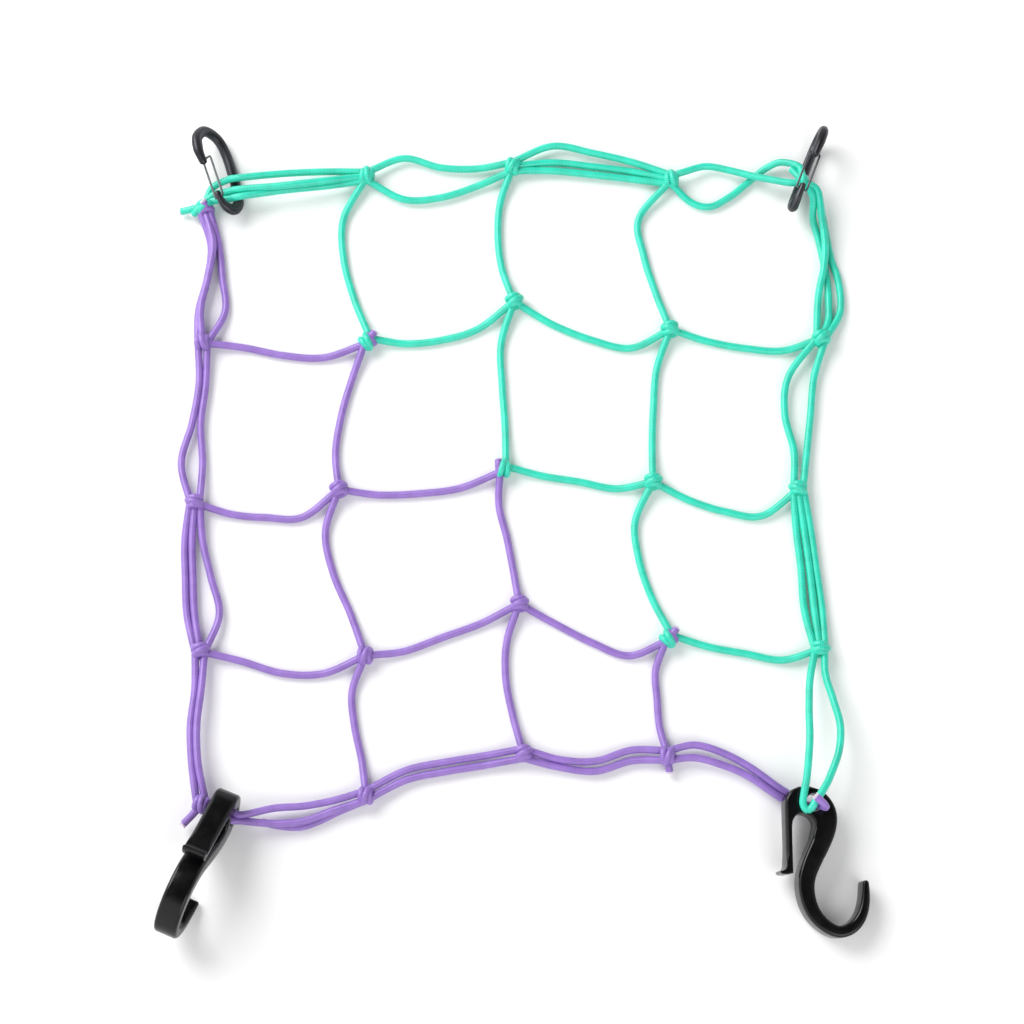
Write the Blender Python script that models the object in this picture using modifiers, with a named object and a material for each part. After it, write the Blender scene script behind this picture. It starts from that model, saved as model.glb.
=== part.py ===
"""Elastic luggage net: a two-colour shock-cord net of four by four meshes,
laid out loosely, with two small wire-gate carabiners at its top corners and
two moulded plastic J hooks at its bottom corners.

Axes: +X to the right of the laid-out net, +Y to its top edge, +Z up.
The origin is at the middle of the net's outline, on the surface it lies on.
Lengths in the tables are millimetres; the model is in metres.
"""
import math
from typing import NamedTuple

import bpy
import bmesh
from mathutils import Matrix, Vector

MM = 0.001

# ---- driving dimensions, mm ------------------------------------------------
CORD_RADIUS = 1.85          # round elastic cord, 3.7 across
CORD_SIDES_SETTING = 1      # bevel resolution 1 gives a six-sided cord
CORD_STEP = 10.5            # length of one straight piece of a cord's tube
CORD_FLOOR = 1.95           # lowest height of a cord's middle over the surface
KNOT_HALF_LENGTH = 5.2
KNOT_RIDGE = 4.9            # radius over a wrap of the knot
KNOT_SIDES = 9
KNOT_HEIGHT = 4.45          # middle of a knot over the surface
LANE = 2.3                  # spacing of the cords of a bundle inside a knot
SEAM_GAP = 0.35             # between the two colours in a shared knot
SEAM_BLOCK = 15.0           # size of the space that a shared knot divides
SEAM_INSET = 2.2            # from a shared knot's middle to the middle of its halves

CARABINER_BAR = 2.6         # half width of the bar in the carabiner's plane
CARABINER_FLATNESS = 0.87   # the bar's thickness across that plane, as a share
CARABINER_STEP = 3.7
PIVOT = (-7.0, -15.3)       # the gate's axis in the carabiner's plane
PIVOT_BORE = 1.05           # radius of the bore for the gate's wire ends
WIRE = 0.5                  # radius of the gate's wire
WIRE_SPREAD = 2.75          # from the middle plane to each leg of the gate
GATE_NOSE = (-6.2, 6.7)     # where the gate's cross wire meets the nose
WIRE_END = 1.0              # how near the wire ends come to the middle plane

HOOK_DEPTH = 11.6           # of the moulded hook, face to face
HOOK_STEP = 3.6
LIP_LENGTH = 5.2
LIP_HALF = 0.85
EYE = (1.8, 27.4)           # middle of the cord eye in the hook's head
EYE_RADIUS = 4.4
EYE_SIDES = 14

# ---- the carabiner's bar, nose to gate end ---------------------------------
class Station(NamedTuple):
    """A point on a bar's middle line, mm, and the bar's half width there."""
    x: float
    y: float
    half: float


CARABINER_LINE = [
    Station(-9.6, 4.8, 2.1), Station(-10.0, 7.6, 2.2), Station(-10.0, 11.9, 2.5),
    Station(-7.3, 18.7, 2.6), Station(0.2, 22.4, 2.6), Station(7.8, 18.4, 2.6),
    Station(10.4, 9.7, 2.6), Station(9.9, -1.1, 2.6), Station(8.4, -11.3, 2.6),
    Station(5.8, -18.8, 2.6), Station(0.0, -22.4, 2.6), Station(-5.2, -20.1, 2.3),
    Station(-7.1, -15.3, 1.84), Station(-7.3, -13.4, 1.84)]

# ---- the hook's body, from its closed end round to its tip ------------------
HOOK_BODY = [
    Station(-11.0, 25.8, 4.6), Station(-7.2, 27.9, 5.9), Station(-2.2, 28.6, 6.6),
    Station(3.2, 27.0, 6.3),
    Station(6.7, 22.2, 5.8), Station(6.9, 16.0, 5.2), Station(4.7, 9.0, 4.7),
    Station(0.9, 1.5, 4.5), Station(-2.7, -7.0, 4.1), Station(-3.3, -14.8, 3.8),
    Station(-1.0, -23.4, 3.5), Station(4.2, -30.0, 3.1), Station(11.5, -33.8, 2.8),
    Station(18.4, -31.8, 2.8), Station(23.2, -26.0, 2.5), Station(25.2, -18.4, 2.1),
    Station(25.4, -10.8, 1.5)]
HOOK_ARM = [
    Station(-8.6, 31.6, 1.8), Station(-11.0, 27.4, 1.7), Station(-11.3, 20.0, 1.5),
    Station(-11.3, 8.0, 1.45), Station(-11.2, -4.4, 1.5)]


# ---- where the hard pieces lie ---------------------------------------------
class Pose(NamedTuple):
    """A hard piece's place: its middle, mm, and its turns, degrees."""
    x: float
    y: float
    z: float
    heading: float
    pitch: float
    roll: float


CARABINER_LEFT = Pose(-151.0, 179.4, 10.4, 20.4, 4.0, 50.5)
CARABINER_RIGHT = Pose(152.0, 178.8, 13.8, -21.4, -3.0, 97.0)
HOOK_LEFT = Pose(-148.1, -174.3, 21.2, -23.0, -23.5, 88.5)
HOOK_RIGHT = Pose(142.5, -174.9, 9.9, 0.0, 2.5, 6.5)


# ---- knots -----------------------------------------------------------------
class Knot(NamedTuple):
    """A knot's middle, mm, the heading of its wraps, degrees, and its size as a share."""
    x: float
    y: float
    z: float
    turn: float
    size: float = 1.0


KNOTS = {
    "K00": Knot(-158.0, 161.0, 5.0, 70), "K01": Knot(-75.0, 178.5, 5.0, 15),
    "K02": Knot(0.5, 184.0, 5.0, -20), "K03": Knot(82.5, 176.5, 5.0, 10),
    "K10": Knot(-157.0, 87.5, 5.0, 95), "K11": Knot(-73.5, 88.5, KNOT_HEIGHT, 40),
    "K12": Knot(1.0, 110.0, KNOT_HEIGHT, 5), "K13": Knot(80.5, 95.0, KNOT_HEIGHT, 0),
    "K14": Knot(157.0, 90.0, 5.0, 80),
    "K20": Knot(-158.0, 3.5, 5.0, 90), "K21": Knot(-86.5, 10.5, KNOT_HEIGHT, -10),
    "K22": Knot(-4.5, 21.0, KNOT_HEIGHT, -30), "K23": Knot(70.5, 14.5, KNOT_HEIGHT, 10),
    "K24": Knot(143.0, 10.5, 5.0, 85),
    "K30": Knot(-153.0, -72.0, 5.0, 90), "K31": Knot(-72.0, -74.0, KNOT_HEIGHT, 20),
    "K32": Knot(3.5, -48.0, KNOT_HEIGHT, 15), "K33": Knot(77.0, -65.5, KNOT_HEIGHT, -20),
    "K34": Knot(151.0, -71.0, 5.0, 80),
    "K41": Knot(-70.5, -143.0, 5.0, 10), "K42": Knot(5.5, -122.5, 5.0, 0),
    "K43": Knot(75.5, -123.5, 5.0, 5)}
# two corner knots are held by the hard pieces: places in the piece's own axes
KNOT_AT_LEFT_HOOK = (1.8, 27.2, -11.5)         # against the eye in the hook's head
LEFT_HOOK_KNOT_TURN = -23.0
KNOT_IN_RIGHT_CARABINER = (2.5, -6.0, -0.2)    # inside it, below the gate's sweep
RIGHT_CARABINER_KNOT_TURN = -21.0
RIGHT_CARABINER_KNOT_SIZE = 0.76

# knots that tie the two colours together, with the heading, in degrees, of the
# line that looks from the purple half to the mint half
SHARED_KNOTS = {"K00": 90.0, "K11": 45.0, "K22": 45.0, "K33": 45.0}

LOOSE_ENDS = {              # short cut ends that stand out of four knots
    "K00": (-13.2, -0.6, -0.5), "K04": (-4.8, 8.0, -4.6), "K40": (-8.5, -9.0, -2.5),
    "K43": (1.0, -9.0, -1.5)}


# ---- cords between the knots -----------------------------------------------
class Run(NamedTuple):
    """One cord from knot to knot.

    lane is its place across the bundle inside the knots. at_1, at_2 and at_3
    are how far it lies off the straight line at each quarter, mm: to the
    right for a run down the net, towards the top for a run across it. lift
    is how far it floats over the surface.
    """
    start: str
    end: str
    lane: float
    at_1: float
    at_2: float
    at_3: float
    lift: float


MINT_DOWN = [
    Run("K01", "K11", 0, -12.5, -13.0, -8.0, 0), Run("K02", "K12", 0, -6.5, -8.0, -6.0, 0),
    Run("K12", "K22", 0, -5.5, -4.0, -1.5, 0), Run("K03", "K13", 0, -16.5, -13.8, -7.5, 0),
    Run("K13", "K23", 0, -4.5, -4.0, -2.5, 0), Run("K23", "K33", 0, -11.0, -11.5, -7.5, 0),
    Run("K14", "K24", -1, -13.5, -12.5, -5.0, 1.5), Run("K14", "K24", 1, -0.5, 0.5, 1.5, 1.0),
    Run("K24", "K34", -1.1, -3.6, -3.8, -4.8, 1.0), Run("K24", "K34", 0, 0.2, 0.4, 0.0, 1.5),
    Run("K24", "K34", 1.1, 3.6, 3.8, 4.0, 1.0)]
MINT_ACROSS = [
    Run("K11", "K12", 0, -7.0, -10.0, -9.0, 0), Run("K12", "K13", 0, -8.0, -12.5, -13.0, 0),
    Run("K13", "K14", 0, -4.5, -7.0, -7.0, 0), Run("K22", "K23", 0, -2.5, -3.5, -5.0, 0),
    Run("K23", "K24", 0, -8.0, -13.0, -14.0, 0), Run("K33", "K34", 0, -3.5, -5.2, -6.6, 0),
    Run("K01", "K02", 1, 9.0, 2.6, 0.6, 1.5), Run("K01", "K02", -1, -13.5, -14.0, -9.0, 1.0),
    Run("K02", "K03", 1.1, 13.4, 11.6, 8.4, 2.0), Run("K02", "K03", 0, 4.6, 4.4, 3.4, 1.0),
    Run("K02", "K03", -1.1, -0.2, -0.4, -1.0, 1.5)]
PURPLE_DOWN = [
    Run("K11", "K21", 0, -3.5, -5.5, -5.0, 0), Run("K21", "K31", 0, -10.0, -9.5, -4.0, 0),
    Run("K31", "K41", 0, -6.5, -5.5, -2.0, 0), Run("K22", "K32", 0, -2.8, -1.2, -0.4, 0),
    Run("K32", "K42", 0, -6.5, -7.5, -4.5, 0), Run("K33", "K43", 0, -5.0, -4.5, -3.5, 0),
    Run("K00", "K10", -1.1, 2.9, 1.3, -2.8, 0.0), Run("K00", "K10", 0, 4.4, 2.2, -1.3, 3.5),
    Run("K00", "K10", 1.1, 7.1, 9.2, 10.8, 0.3),
    Run("K10", "K20", -1, -1.0, -3.5, -8.0, 1.5), Run("K10", "K20", 1, 2.4, 0.8, 2.6, 1.0),
    Run("K20", "K30", -1.1, -5.8, -6.2, -6.0, 1.0), Run("K20", "K30", 0, -2.2, -2.4, -2.2, 1.5),
    Run("K20", "K30", 1.1, 3.0, 6.5, 10.0, 1.5),
    Run("K30", "K40", -1, -2.6, -5.0, -4.4, 4.0), Run("K30", "K40", 1, 0.6, -1.8, -1.2, 5.0)]
PURPLE_ACROSS = [
    Run("K10", "K11", 0, -1.5, -5.5, -6.5, 0), Run("K20", "K21", 0, -7.0, -10.5, -12.0, 0),
    Run("K21", "K22", 0, -4.5, -6.0, -5.5, 0), Run("K30", "K31", 0, -4.0, -9.5, -9.0, 0),
    Run("K31", "K32", 0, -4.0, -3.5, -3.0, 0), Run("K32", "K33", 0, -5.0, -9.6, -11.4, 0),
    Run("K41", "K42", 1, 7.2, 6.2, 4.2, 1.5), Run("K41", "K42", -1, 2.6, 1.6, -0.4, 1.0),
    Run("K42", "K43", 1, -2.6, -3.1, 2.5, 2.0), Run("K42", "K43", -1, -6.2, -7.9, -2.6, 1.0)]

# two mint cords from K03 that cross each other on the way to K04
CROSSING_CORDS = {
    "over": [(88.2, 180.2, 6.0), (100.1, 184.1, 4.5), (111.7, 181.8, 5.2),
             (124.7, 177.6, 7.0), (134.5, 174.7, 9.0), (144.0, 172.2, 11.0)],
    "under": [(92.0, 165.1, 3.0), (102.0, 162.6, 2.2), (111.7, 167.5, 2.2),
              (119.6, 173.8, 2.2), (125.2, 178.7, 2.6), (131.4, 183.1, 4.0),
              (138.5, 185.5, 6.5), (146.4, 183.1, 9.0), (148.9, 180.2, 9.6)]}

# cords that go through the eyes of the hard pieces: places in the piece's own axes
LEFT_CARABINER_CORDS = {    # where each crosses the eye, its bows to K01 and their lift
    "low": ((0.2, -16.2, 0.0), (0.7, 0.1), -1.0),
    "middle": ((0.6, -12.2, 0.0), (-1.5, -1.2), 2.4),
    "high": ((3.0, -5.6, 0.0), (1.6, 1.6), -1.0)}
LEFT_HOOK_CORDS = {         # where each crosses the eye, how it leaves it, its bows to K41
    "upper": ((0.8, 29.1), 0.8, (0.4, -1.4, -1.4)),
    "lower": ((2.8, 25.7), 1.8, (-3.6, -5.0, -2.1))}
# a third cord that shows from under the lower one, in the layout's own axes
UNDER_CORD = [(-120.5, -155.6, 3.5), (-111.9, -157.3, 2.0), (-102.2, -157.8, 2.0),
              (-93.6, -155.1, 2.0), (-83.1, -150.1, 2.0)]
# three mint cords from K04, outside the bar, to K14, in the layout's own axes: the
# first lies over the other two and crosses them
RIGHT_CARABINER_CORDS = {
    "over": [(156.9, 168.6, 10.4), (158.9, 154.6, 8.6), (160.4, 140.8, 6.6), (159.6, 128.1, 5.6),
             (157.0, 116.4, 4.0), (155.8, 105.9, 3.0)],
    "left": [(154.6, 165.3, 9.8), (154.9, 154.6, 5.0), (157.8, 143.6, 3.0), (159.9, 132.4, 2.0),
             (161.4, 120.9, 2.0), (161.8, 109.9, 2.0), (161.1, 100.0, 3.0)],
    "right": [(157.2, 168.0, 8.5), (159.8, 157.2, 4.6), (162.1, 144.2, 2.6), (163.9, 133.5, 2.0),
              (166.7, 124.3, 2.0), (168.1, 112.0, 2.0), (166.6, 102.5, 2.5)]}
# the hitch at the right hook, in the hook's own axes: the mint cord makes a bend on
# the head, and a purple cord comes up through the eye and ends across the bend
MINT_HITCH = [
    (-0.9, 57.0, 8.6), (-2.8, 40.0, 9.2), (-4.6, 30.0, 8.6), (-4.9, 26.0, 8.4),
    (-3.4, 23.3, 8.6), (-1.0, 24.2, 9.4), (0.4, 26.8, 10.2), (3.0, 30.4, 10.2),
    (6.4, 35.4, 9.0), (9.0, 40.0, 7.4), (14.1, 52.0, 5.0)]
PURPLE_HITCH = {
    "tail": [(-13.5, 36.0, -8.3), (-8.0, 32.6, -8.3), (-2.0, 28.6, -8.3), (1.6, 27.0, -7.6),
             (3.1, 26.2, -5.0), (3.3, 26.0, 0.0), (3.3, 26.0, 6.0), (4.2, 25.2, 8.8),
             (5.2, 24.4, 11.4), (4.6, 25.0, 13.4), (2.8, 26.6, 14.4), (0.2, 28.9, 14.4)],
    "end": [(-15.0, 32.6, -8.3), (-10.2, 29.6, -8.3), (-5.6, 26.8, -8.3)]}


# ---- general helpers -------------------------------------------------------
def clear_scene() -> None:
    """Remove every object, so the model starts from nothing."""
    for item in list(bpy.data.objects):
        bpy.data.objects.remove(item, do_unlink=True)


def make_collection(name: str) -> bpy.types.Collection:
    """Add a collection to the scene and return it."""
    made = bpy.data.collections.new(name)
    bpy.context.scene.collection.children.link(made)
    return made


def material(name: str, colour, roughness: float, metallic: float) -> bpy.types.Material:
    """Return a Principled material of one colour."""
    made = bpy.data.materials.new(name)
    made.use_nodes = True
    shader = made.node_tree.nodes["Principled BSDF"]
    shader.inputs["Base Color"].default_value = (*colour, 1.0)
    shader.inputs["Roughness"].default_value = roughness
    shader.inputs["Metallic"].default_value = metallic
    return made


def pose_matrix(pose: Pose) -> Matrix:
    """Return a pose's matrix: roll about Y first, then pitch, then heading."""
    turn = (Matrix.Rotation(math.radians(pose.heading), 4, "Z")
            @ Matrix.Rotation(math.radians(pose.pitch), 4, "X")
            @ Matrix.Rotation(math.radians(pose.roll), 4, "Y"))
    return Matrix.Translation(Vector((pose.x, pose.y, pose.z)) * MM) @ turn


def at(pose: Pose, place) -> Vector:
    """Return a place in a piece's own axes, mm, as a place in the net's axes, mm."""
    return (pose_matrix(pose) @ (Vector(place) * MM)) / MM


def smooth_path(points, step: float):
    """Return points a step apart on a smooth curve through the given ones."""
    ends = [points[0] * 2 - points[1], *points, points[-1] * 2 - points[-2]]
    path = [points[0]]
    for a, b, c, d in zip(ends, ends[1:], ends[2:], ends[3:]):
        pieces = max(1, round((c - b).length / step))
        for i in range(1, pieces + 1):
            t = i / pieces
            path.append(0.5 * (2 * b + (c - a) * t + (2 * a - 5 * b + 4 * c - d) * t ** 2
                               + (3 * b - a - 3 * c + d) * t ** 3))
    return path


def mesh_of(item: bpy.types.Object) -> bpy.types.Mesh:
    """Return an object's evaluated mesh, with its caps welded, and remove the object."""
    bpy.context.view_layer.update()
    graph = bpy.context.evaluated_depsgraph_get()
    mesh = bpy.data.meshes.new_from_object(item.evaluated_get(graph), depsgraph=graph)
    mesh.transform(item.matrix_world)
    bpy.data.objects.remove(item, do_unlink=True)
    shape = bmesh.new()
    shape.from_mesh(mesh)
    bmesh.ops.remove_doubles(shape, verts=shape.verts, dist=0.000001)
    bmesh.ops.recalc_face_normals(shape, faces=shape.faces)
    shape.to_mesh(mesh)
    shape.free()
    return mesh


def add_object(name: str, mesh: bpy.types.Mesh, home) -> bpy.types.Object:
    """Put a mesh into a collection as a named object."""
    item = bpy.data.objects.new(name, mesh)
    mesh.name = name
    home.objects.link(item)
    return item


def tube_mesh(path, radius: float, home, radii=None, sides: int = 1) -> bpy.types.Mesh:
    """Return a closed tube's mesh.

    path is in millimetres, radii is the radius at each point as a share of
    radius, and sides is the curve's bevel resolution.
    """
    curve = bpy.data.curves.new("tube", "CURVE")
    curve.dimensions = "3D"
    curve.bevel_depth = radius * MM
    curve.bevel_resolution = sides
    curve.use_fill_caps = True
    spline = curve.splines.new("POLY")
    spline.points.add(len(path) - 1)
    for i, (point, place) in enumerate(zip(spline.points, path)):
        point.co = (*(Vector(place) * MM), 1.0)
        point.radius = radii[i] if radii else 1.0
    item = bpy.data.objects.new("tube", curve)
    home.objects.link(item)
    return mesh_of(item)


def carve(item: bpy.types.Object, operation: str, other) -> None:
    """Apply one exact Boolean, with an object or a collection, to an object's mesh."""
    step = item.modifiers.new("carve", "BOOLEAN")
    step.operation = operation
    step.solver = "EXACT"
    if isinstance(other, bpy.types.Collection):
        step.operand_type = "COLLECTION"
        step.collection = other
    else:
        step.object = other
    bpy.context.view_layer.update()
    graph = bpy.context.evaluated_depsgraph_get()
    mesh = bpy.data.meshes.new_from_object(item.evaluated_get(graph), depsgraph=graph)
    item.modifiers.clear()
    item.data = mesh


def box_object(centre, size, heading: float, home) -> bpy.types.Object:
    """Return a cutter: a box of the given size, mm, turned about the vertical."""
    mesh = bpy.data.meshes.new("cutter")
    shape = bmesh.new()
    bmesh.ops.create_cube(shape, size=1.0)
    bmesh.ops.scale(shape, vec=Vector(size) * MM, verts=shape.verts)
    shape.to_mesh(mesh)
    shape.free()
    item = add_object("cutter", mesh, home)
    item.location = Vector(centre) * MM
    item.rotation_euler = (0.0, 0.0, math.radians(heading))
    item.hide_render = True
    item.display_type = "WIRE"
    return item


def cylinder_object(centre, radius: float, depth: float, sides: int, home):
    """Return a cutter: a cylinder across the plane of a hard piece, mm."""
    mesh = bpy.data.meshes.new("cutter")
    shape = bmesh.new()
    bmesh.ops.create_cone(shape, cap_ends=True, segments=sides, radius1=radius * MM,
                          radius2=radius * MM, depth=depth * MM)
    shape.to_mesh(mesh)
    shape.free()
    item = add_object("cutter", mesh, home)
    item.location = Vector((*centre, 0.0)) * MM
    item.hide_render = True
    item.display_type = "WIRE"
    return item


# ---- the net ---------------------------------------------------------------
def all_knots() -> dict:
    """Return every knot, with the two that the hard pieces hold."""
    return {**KNOTS,
            "K04": Knot(*at(CARABINER_RIGHT, KNOT_IN_RIGHT_CARABINER),
                        RIGHT_CARABINER_KNOT_TURN, RIGHT_CARABINER_KNOT_SIZE),
            "K40": Knot(*at(HOOK_LEFT, KNOT_AT_LEFT_HOOK), LEFT_HOOK_KNOT_TURN)}


def knot_anchor(knots: dict, name: str, colour: str) -> Vector:
    """Return the point in a knot that the cords of one colour run to."""
    middle = Vector(knots[name][:3])
    if name not in SHARED_KNOTS:
        return middle
    side = SEAM_INSET if colour == "mint" else -SEAM_INSET
    heading = math.radians(SHARED_KNOTS[name])
    return middle + Vector((math.cos(heading), math.sin(heading), 0.0)) * side


def knot_mesh(knot: Knot, home) -> bpy.types.Mesh:
    """Return a knot: a barrel turned from a profile with three wraps of cord."""
    half = KNOT_HALF_LENGTH
    profile = [(0.0, 1.0), (0.52, 0.98), (0.88, 0.74), (0.84, 0.5), (1.0, 0.18),
               (1.0, -0.18), (0.84, -0.5), (0.88, -0.74), (0.52, -0.98), (0.0, -1.0)]
    mesh = bpy.data.meshes.new("knot")
    ridge = [(KNOT_RIDGE * r * MM, 0.0, half * h * MM) for r, h in profile]
    mesh.from_pydata(ridge, [(i, i + 1) for i in range(len(ridge) - 1)], [])
    item = add_object("knot", mesh, home)
    turning = item.modifiers.new("turn", "SCREW")
    turning.steps = KNOT_SIDES
    turning.render_steps = KNOT_SIDES
    turning.use_merge_vertices = True
    turning.merge_threshold = 0.00001
    item.location = Vector(knot[:3]) * MM
    item.scale = (knot.size,) * 3
    item.rotation_euler = (0.0, math.radians(90.0), math.radians(knot.turn))
    return mesh_of(item)


def run_path(run: Run, knots: dict, colour: str, down: bool):
    """Return one cord's smooth path from knot to knot, in millimetres."""
    across = Vector((1.0, 0.0, 0.0)) if down else Vector((0.0, 1.0, 0.0))
    start = knot_anchor(knots, run.start, colour) + across * (run.lane * LANE)
    end = knot_anchor(knots, run.end, colour) + across * (run.lane * LANE)
    points = [start]
    for share, bow in ((0.25, run.at_1), (0.5, run.at_2), (0.75, run.at_3)):
        place = start.lerp(end, share) + across * (bow - run.lane * LANE)
        floating = CORD_FLOOR + run.lift
        tall = max(start.z, end.z) - KNOT_HEIGHT
        nearness = share if end.z > start.z else 1.0 - share
        place.z = floating + max(0.0, tall) * nearness ** 2
        points.append(place)
    points.append(end)
    return on_surface(smooth_path(points, CORD_STEP))


def on_surface(path):
    """Keep every point of a path high enough for its cord to clear the surface."""
    for place in path:
        place.z = max(place.z, CORD_FLOOR)
    return path


def bows(start: Vector, end: Vector, across: Vector, offsets):
    """Return points between two places, moved sideways at even shares of the way."""
    count = len(offsets) + 1
    return [start.lerp(end, (i + 1) / count) + across * offset
            for i, offset in enumerate(offsets)]


def eye_paths(knots: dict) -> dict:
    """Return the cords that go through the hard pieces' eyes, by colour."""
    paths = {"mint": [], "purple": []}
    east, north = Vector((1.0, 0.0, 0.0)), Vector((0.0, 1.0, 0.0))
    start = knot_anchor(knots, "K00", "mint")
    end = knot_anchor(knots, "K01", "mint")
    for lane, (eye, offsets, lift) in zip((-1, 0, 1), LEFT_CARABINER_CORDS.values()):
        crossing = at(CARABINER_LEFT, eye)
        before = start.lerp(crossing, 0.5) + Vector((-2.0, 1.5 + lane, -0.6))
        after = crossing + Vector((6.5, 0.6, 2.0))
        last = end + north * (lane * LANE)
        points = [start + north * lane, before, crossing, after,
                  *[p + Vector((0, 0, lift)) for p in bows(after, last, north, offsets)], last]
        paths["mint"].append(on_surface(smooth_path(points, CORD_STEP)))
    start = knot_anchor(knots, "K03", "mint")
    end = knot_anchor(knots, "K04", "mint")
    for lane, places in zip((1, -1), CROSSING_CORDS.values()):
        points = [start + north * (lane * LANE), *[Vector(p) for p in places], end]
        paths["mint"].append(on_surface(smooth_path(points, CORD_STEP)))
    start = end
    end = knot_anchor(knots, "K14", "mint")
    for lane, places in zip((-1, 0, 1), RIGHT_CARABINER_CORDS.values()):
        points = [start + north * lane, *[Vector(p) for p in places],
                  end + east * (lane * LANE)]
        paths["mint"].append(on_surface(smooth_path(points, CORD_STEP)))
    start = knot_anchor(knots, "K40", "purple")
    end = knot_anchor(knots, "K41", "purple")
    for lane, (eye, leaning, offsets) in zip((1, -1), LEFT_HOOK_CORDS.values()):
        into, inside = at(HOOK_LEFT, (*eye, -7.0)), at(HOOK_LEFT, (*eye, 4.0))
        out = at(HOOK_LEFT, (eye[0], eye[1] + leaning, 9.0))
        last = end + north * (lane * LANE)
        points = [start, into, inside, out,
                  *[p + Vector((0, 0, -1.0)) for p in bows(out, last, north, offsets)], last]
        paths["purple"].append(on_surface(smooth_path(points, CORD_STEP)))
    points = [*[Vector(p) for p in UNDER_CORD], end - north * LANE]
    paths["purple"].append(on_surface(smooth_path(points, CORD_STEP)))
    start = knot_anchor(knots, "K34", "mint")
    hitch = [at(HOOK_RIGHT, place) for place in MINT_HITCH]
    points = [start - east * LANE, *bows(start, hitch[0], east, (-3.2, -2.0)), *hitch,
              *bows(hitch[-1], start, east, (3.0, 1.9, 0.4)), start + east * LANE]
    paths["mint"].append(on_surface(smooth_path(points, CORD_STEP)))
    start = knot_anchor(knots, "K43", "purple")
    for lane, hitch, offsets in ((1, PURPLE_HITCH["tail"], (8.9, 9.0, 5.8)),
                                 (-1, PURPLE_HITCH["end"], (3.5, 4.9, 4.1))):
        route = [at(HOOK_RIGHT, place) for place in hitch]
        points = [start + north * (lane * LANE), *bows(start, route[0], north, offsets), *route]
        paths["purple"].append(on_surface(smooth_path(points, CORD_STEP)))
    return paths


def cord_paths(colour: str, knots: dict):
    """Return the paths of every cord of one colour."""
    down, across = ((MINT_DOWN, MINT_ACROSS) if colour == "mint"
                    else (PURPLE_DOWN, PURPLE_ACROSS))
    paths = [run_path(run, knots, colour, True) for run in down]
    paths += [run_path(run, knots, colour, False) for run in across]
    paths += eye_paths(knots)[colour]
    for name, reach in LOOSE_ENDS.items():
        if (name in ("K00", "K04")) == (colour == "mint"):
            start = knot_anchor(knots, name, colour)
            paths.append([start, start + Vector(reach)])
    return paths


def colour_knots(colour: str):
    """Return the names of the knots that one colour is tied in."""
    purple_only = {"K10", "K20", "K21", "K30", "K31", "K32", "K40", "K41", "K42", "K43"}
    return [name for name in sorted(all_knots())
            if name in SHARED_KNOTS or (name in purple_only) == (colour == "purple")]


def build_net(colour: str, knots: dict, home, workshop, finish) -> bpy.types.Object:
    """Fuse one colour's cords and knots into a solid, flat where it touches the surface."""
    pieces = make_collection("pieces_" + colour)
    meshes = [knot_mesh(knots[name], workshop) for name in colour_knots(colour)]
    meshes += [tube_mesh(path, CORD_RADIUS, workshop, sides=CORD_SIDES_SETTING)
               for path in cord_paths(colour, knots)]
    net = add_object("net_" + colour, meshes[0], home)
    for number, mesh in enumerate(meshes[1:]):
        add_object(f"piece_{colour}_{number}", mesh, pieces)
    carve(net, "UNION", pieces)
    for item in list(pieces.objects):
        bpy.data.objects.remove(item, do_unlink=True)
    bpy.data.collections.remove(pieces)
    side = -1.0 if colour == "mint" else 1.0
    for name, heading in SHARED_KNOTS.items():
        offset = side * (SEAM_BLOCK - SEAM_GAP) / 2
        look = math.radians(heading)
        centre = Vector(knots[name][:3]) + Vector((math.cos(look), math.sin(look), 0.0)) * offset
        cutter = box_object(centre, (SEAM_BLOCK,) * 3, heading, workshop)
        carve(net, "DIFFERENCE", cutter)
    floor = box_object((0.0, 0.0, -10.0), (500.0, 500.0, 20.0), 0.0, workshop)
    carve(net, "DIFFERENCE", floor)
    net.data.materials.clear()
    net.data.materials.append(finish)
    return net


# ---- the carabiners --------------------------------------------------------
def line_and_radii(stations, step: float):
    """Return a smooth middle line and the half widths along it."""
    packed = [Vector((s.x, s.y, s.half)) for s in stations]
    smooth = smooth_path(packed, step)
    return [Vector((p.x, p.y, 0.0)) for p in smooth], [p.z for p in smooth]


def carabiner_body(name: str, frame, home, workshop, finish) -> bpy.types.Object:
    """Make a carabiner's bent bar, bored at its lower end for the gate's wire ends."""
    line, radii = line_and_radii(CARABINER_LINE, CARABINER_STEP)
    shares = [r / CARABINER_BAR for r in radii]
    bar = tube_mesh(line, CARABINER_BAR, workshop, shares, sides=2)
    bar.transform(Matrix.Scale(CARABINER_FLATNESS, 4, (0.0, 0.0, 1.0)))
    body = add_object(name, bar, home)
    bore = cylinder_object(PIVOT, PIVOT_BORE, 10.0, 10, workshop)
    carve(body, "DIFFERENCE", bore)
    body.data.materials.clear()
    body.data.materials.append(finish)
    body.parent = frame
    return body


def gate_path():
    """Return the wire gate's line from its pivot, up one side, over the nose and down."""
    nose = Vector((*GATE_NOSE, 0.0)) - Vector((*PIVOT, 0.0))
    spread, bend = WIRE_SPREAD, 0.7
    up = nose.normalized()
    side = [Vector((0.0, 0.0, WIRE_END)), Vector((0.0, 0.0, spread - bend)),
            up * (bend * 0.3) + Vector((0.0, 0.0, spread - bend * 0.3)),
            up * bend + Vector((0.0, 0.0, spread)),
            nose * 0.5 + Vector((0.0, 0.0, spread)),
            nose - up * bend * 1.4 + Vector((0.0, 0.0, spread)),
            nose - up * bend * 0.4 + Vector((0.0, 0.0, spread - bend * 0.5)),
            nose + Vector((0.0, 0.0, spread - bend * 1.5))]
    mirrored = [Vector((p.x, p.y, -p.z)) for p in reversed(side)]
    return side + mirrored


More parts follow.
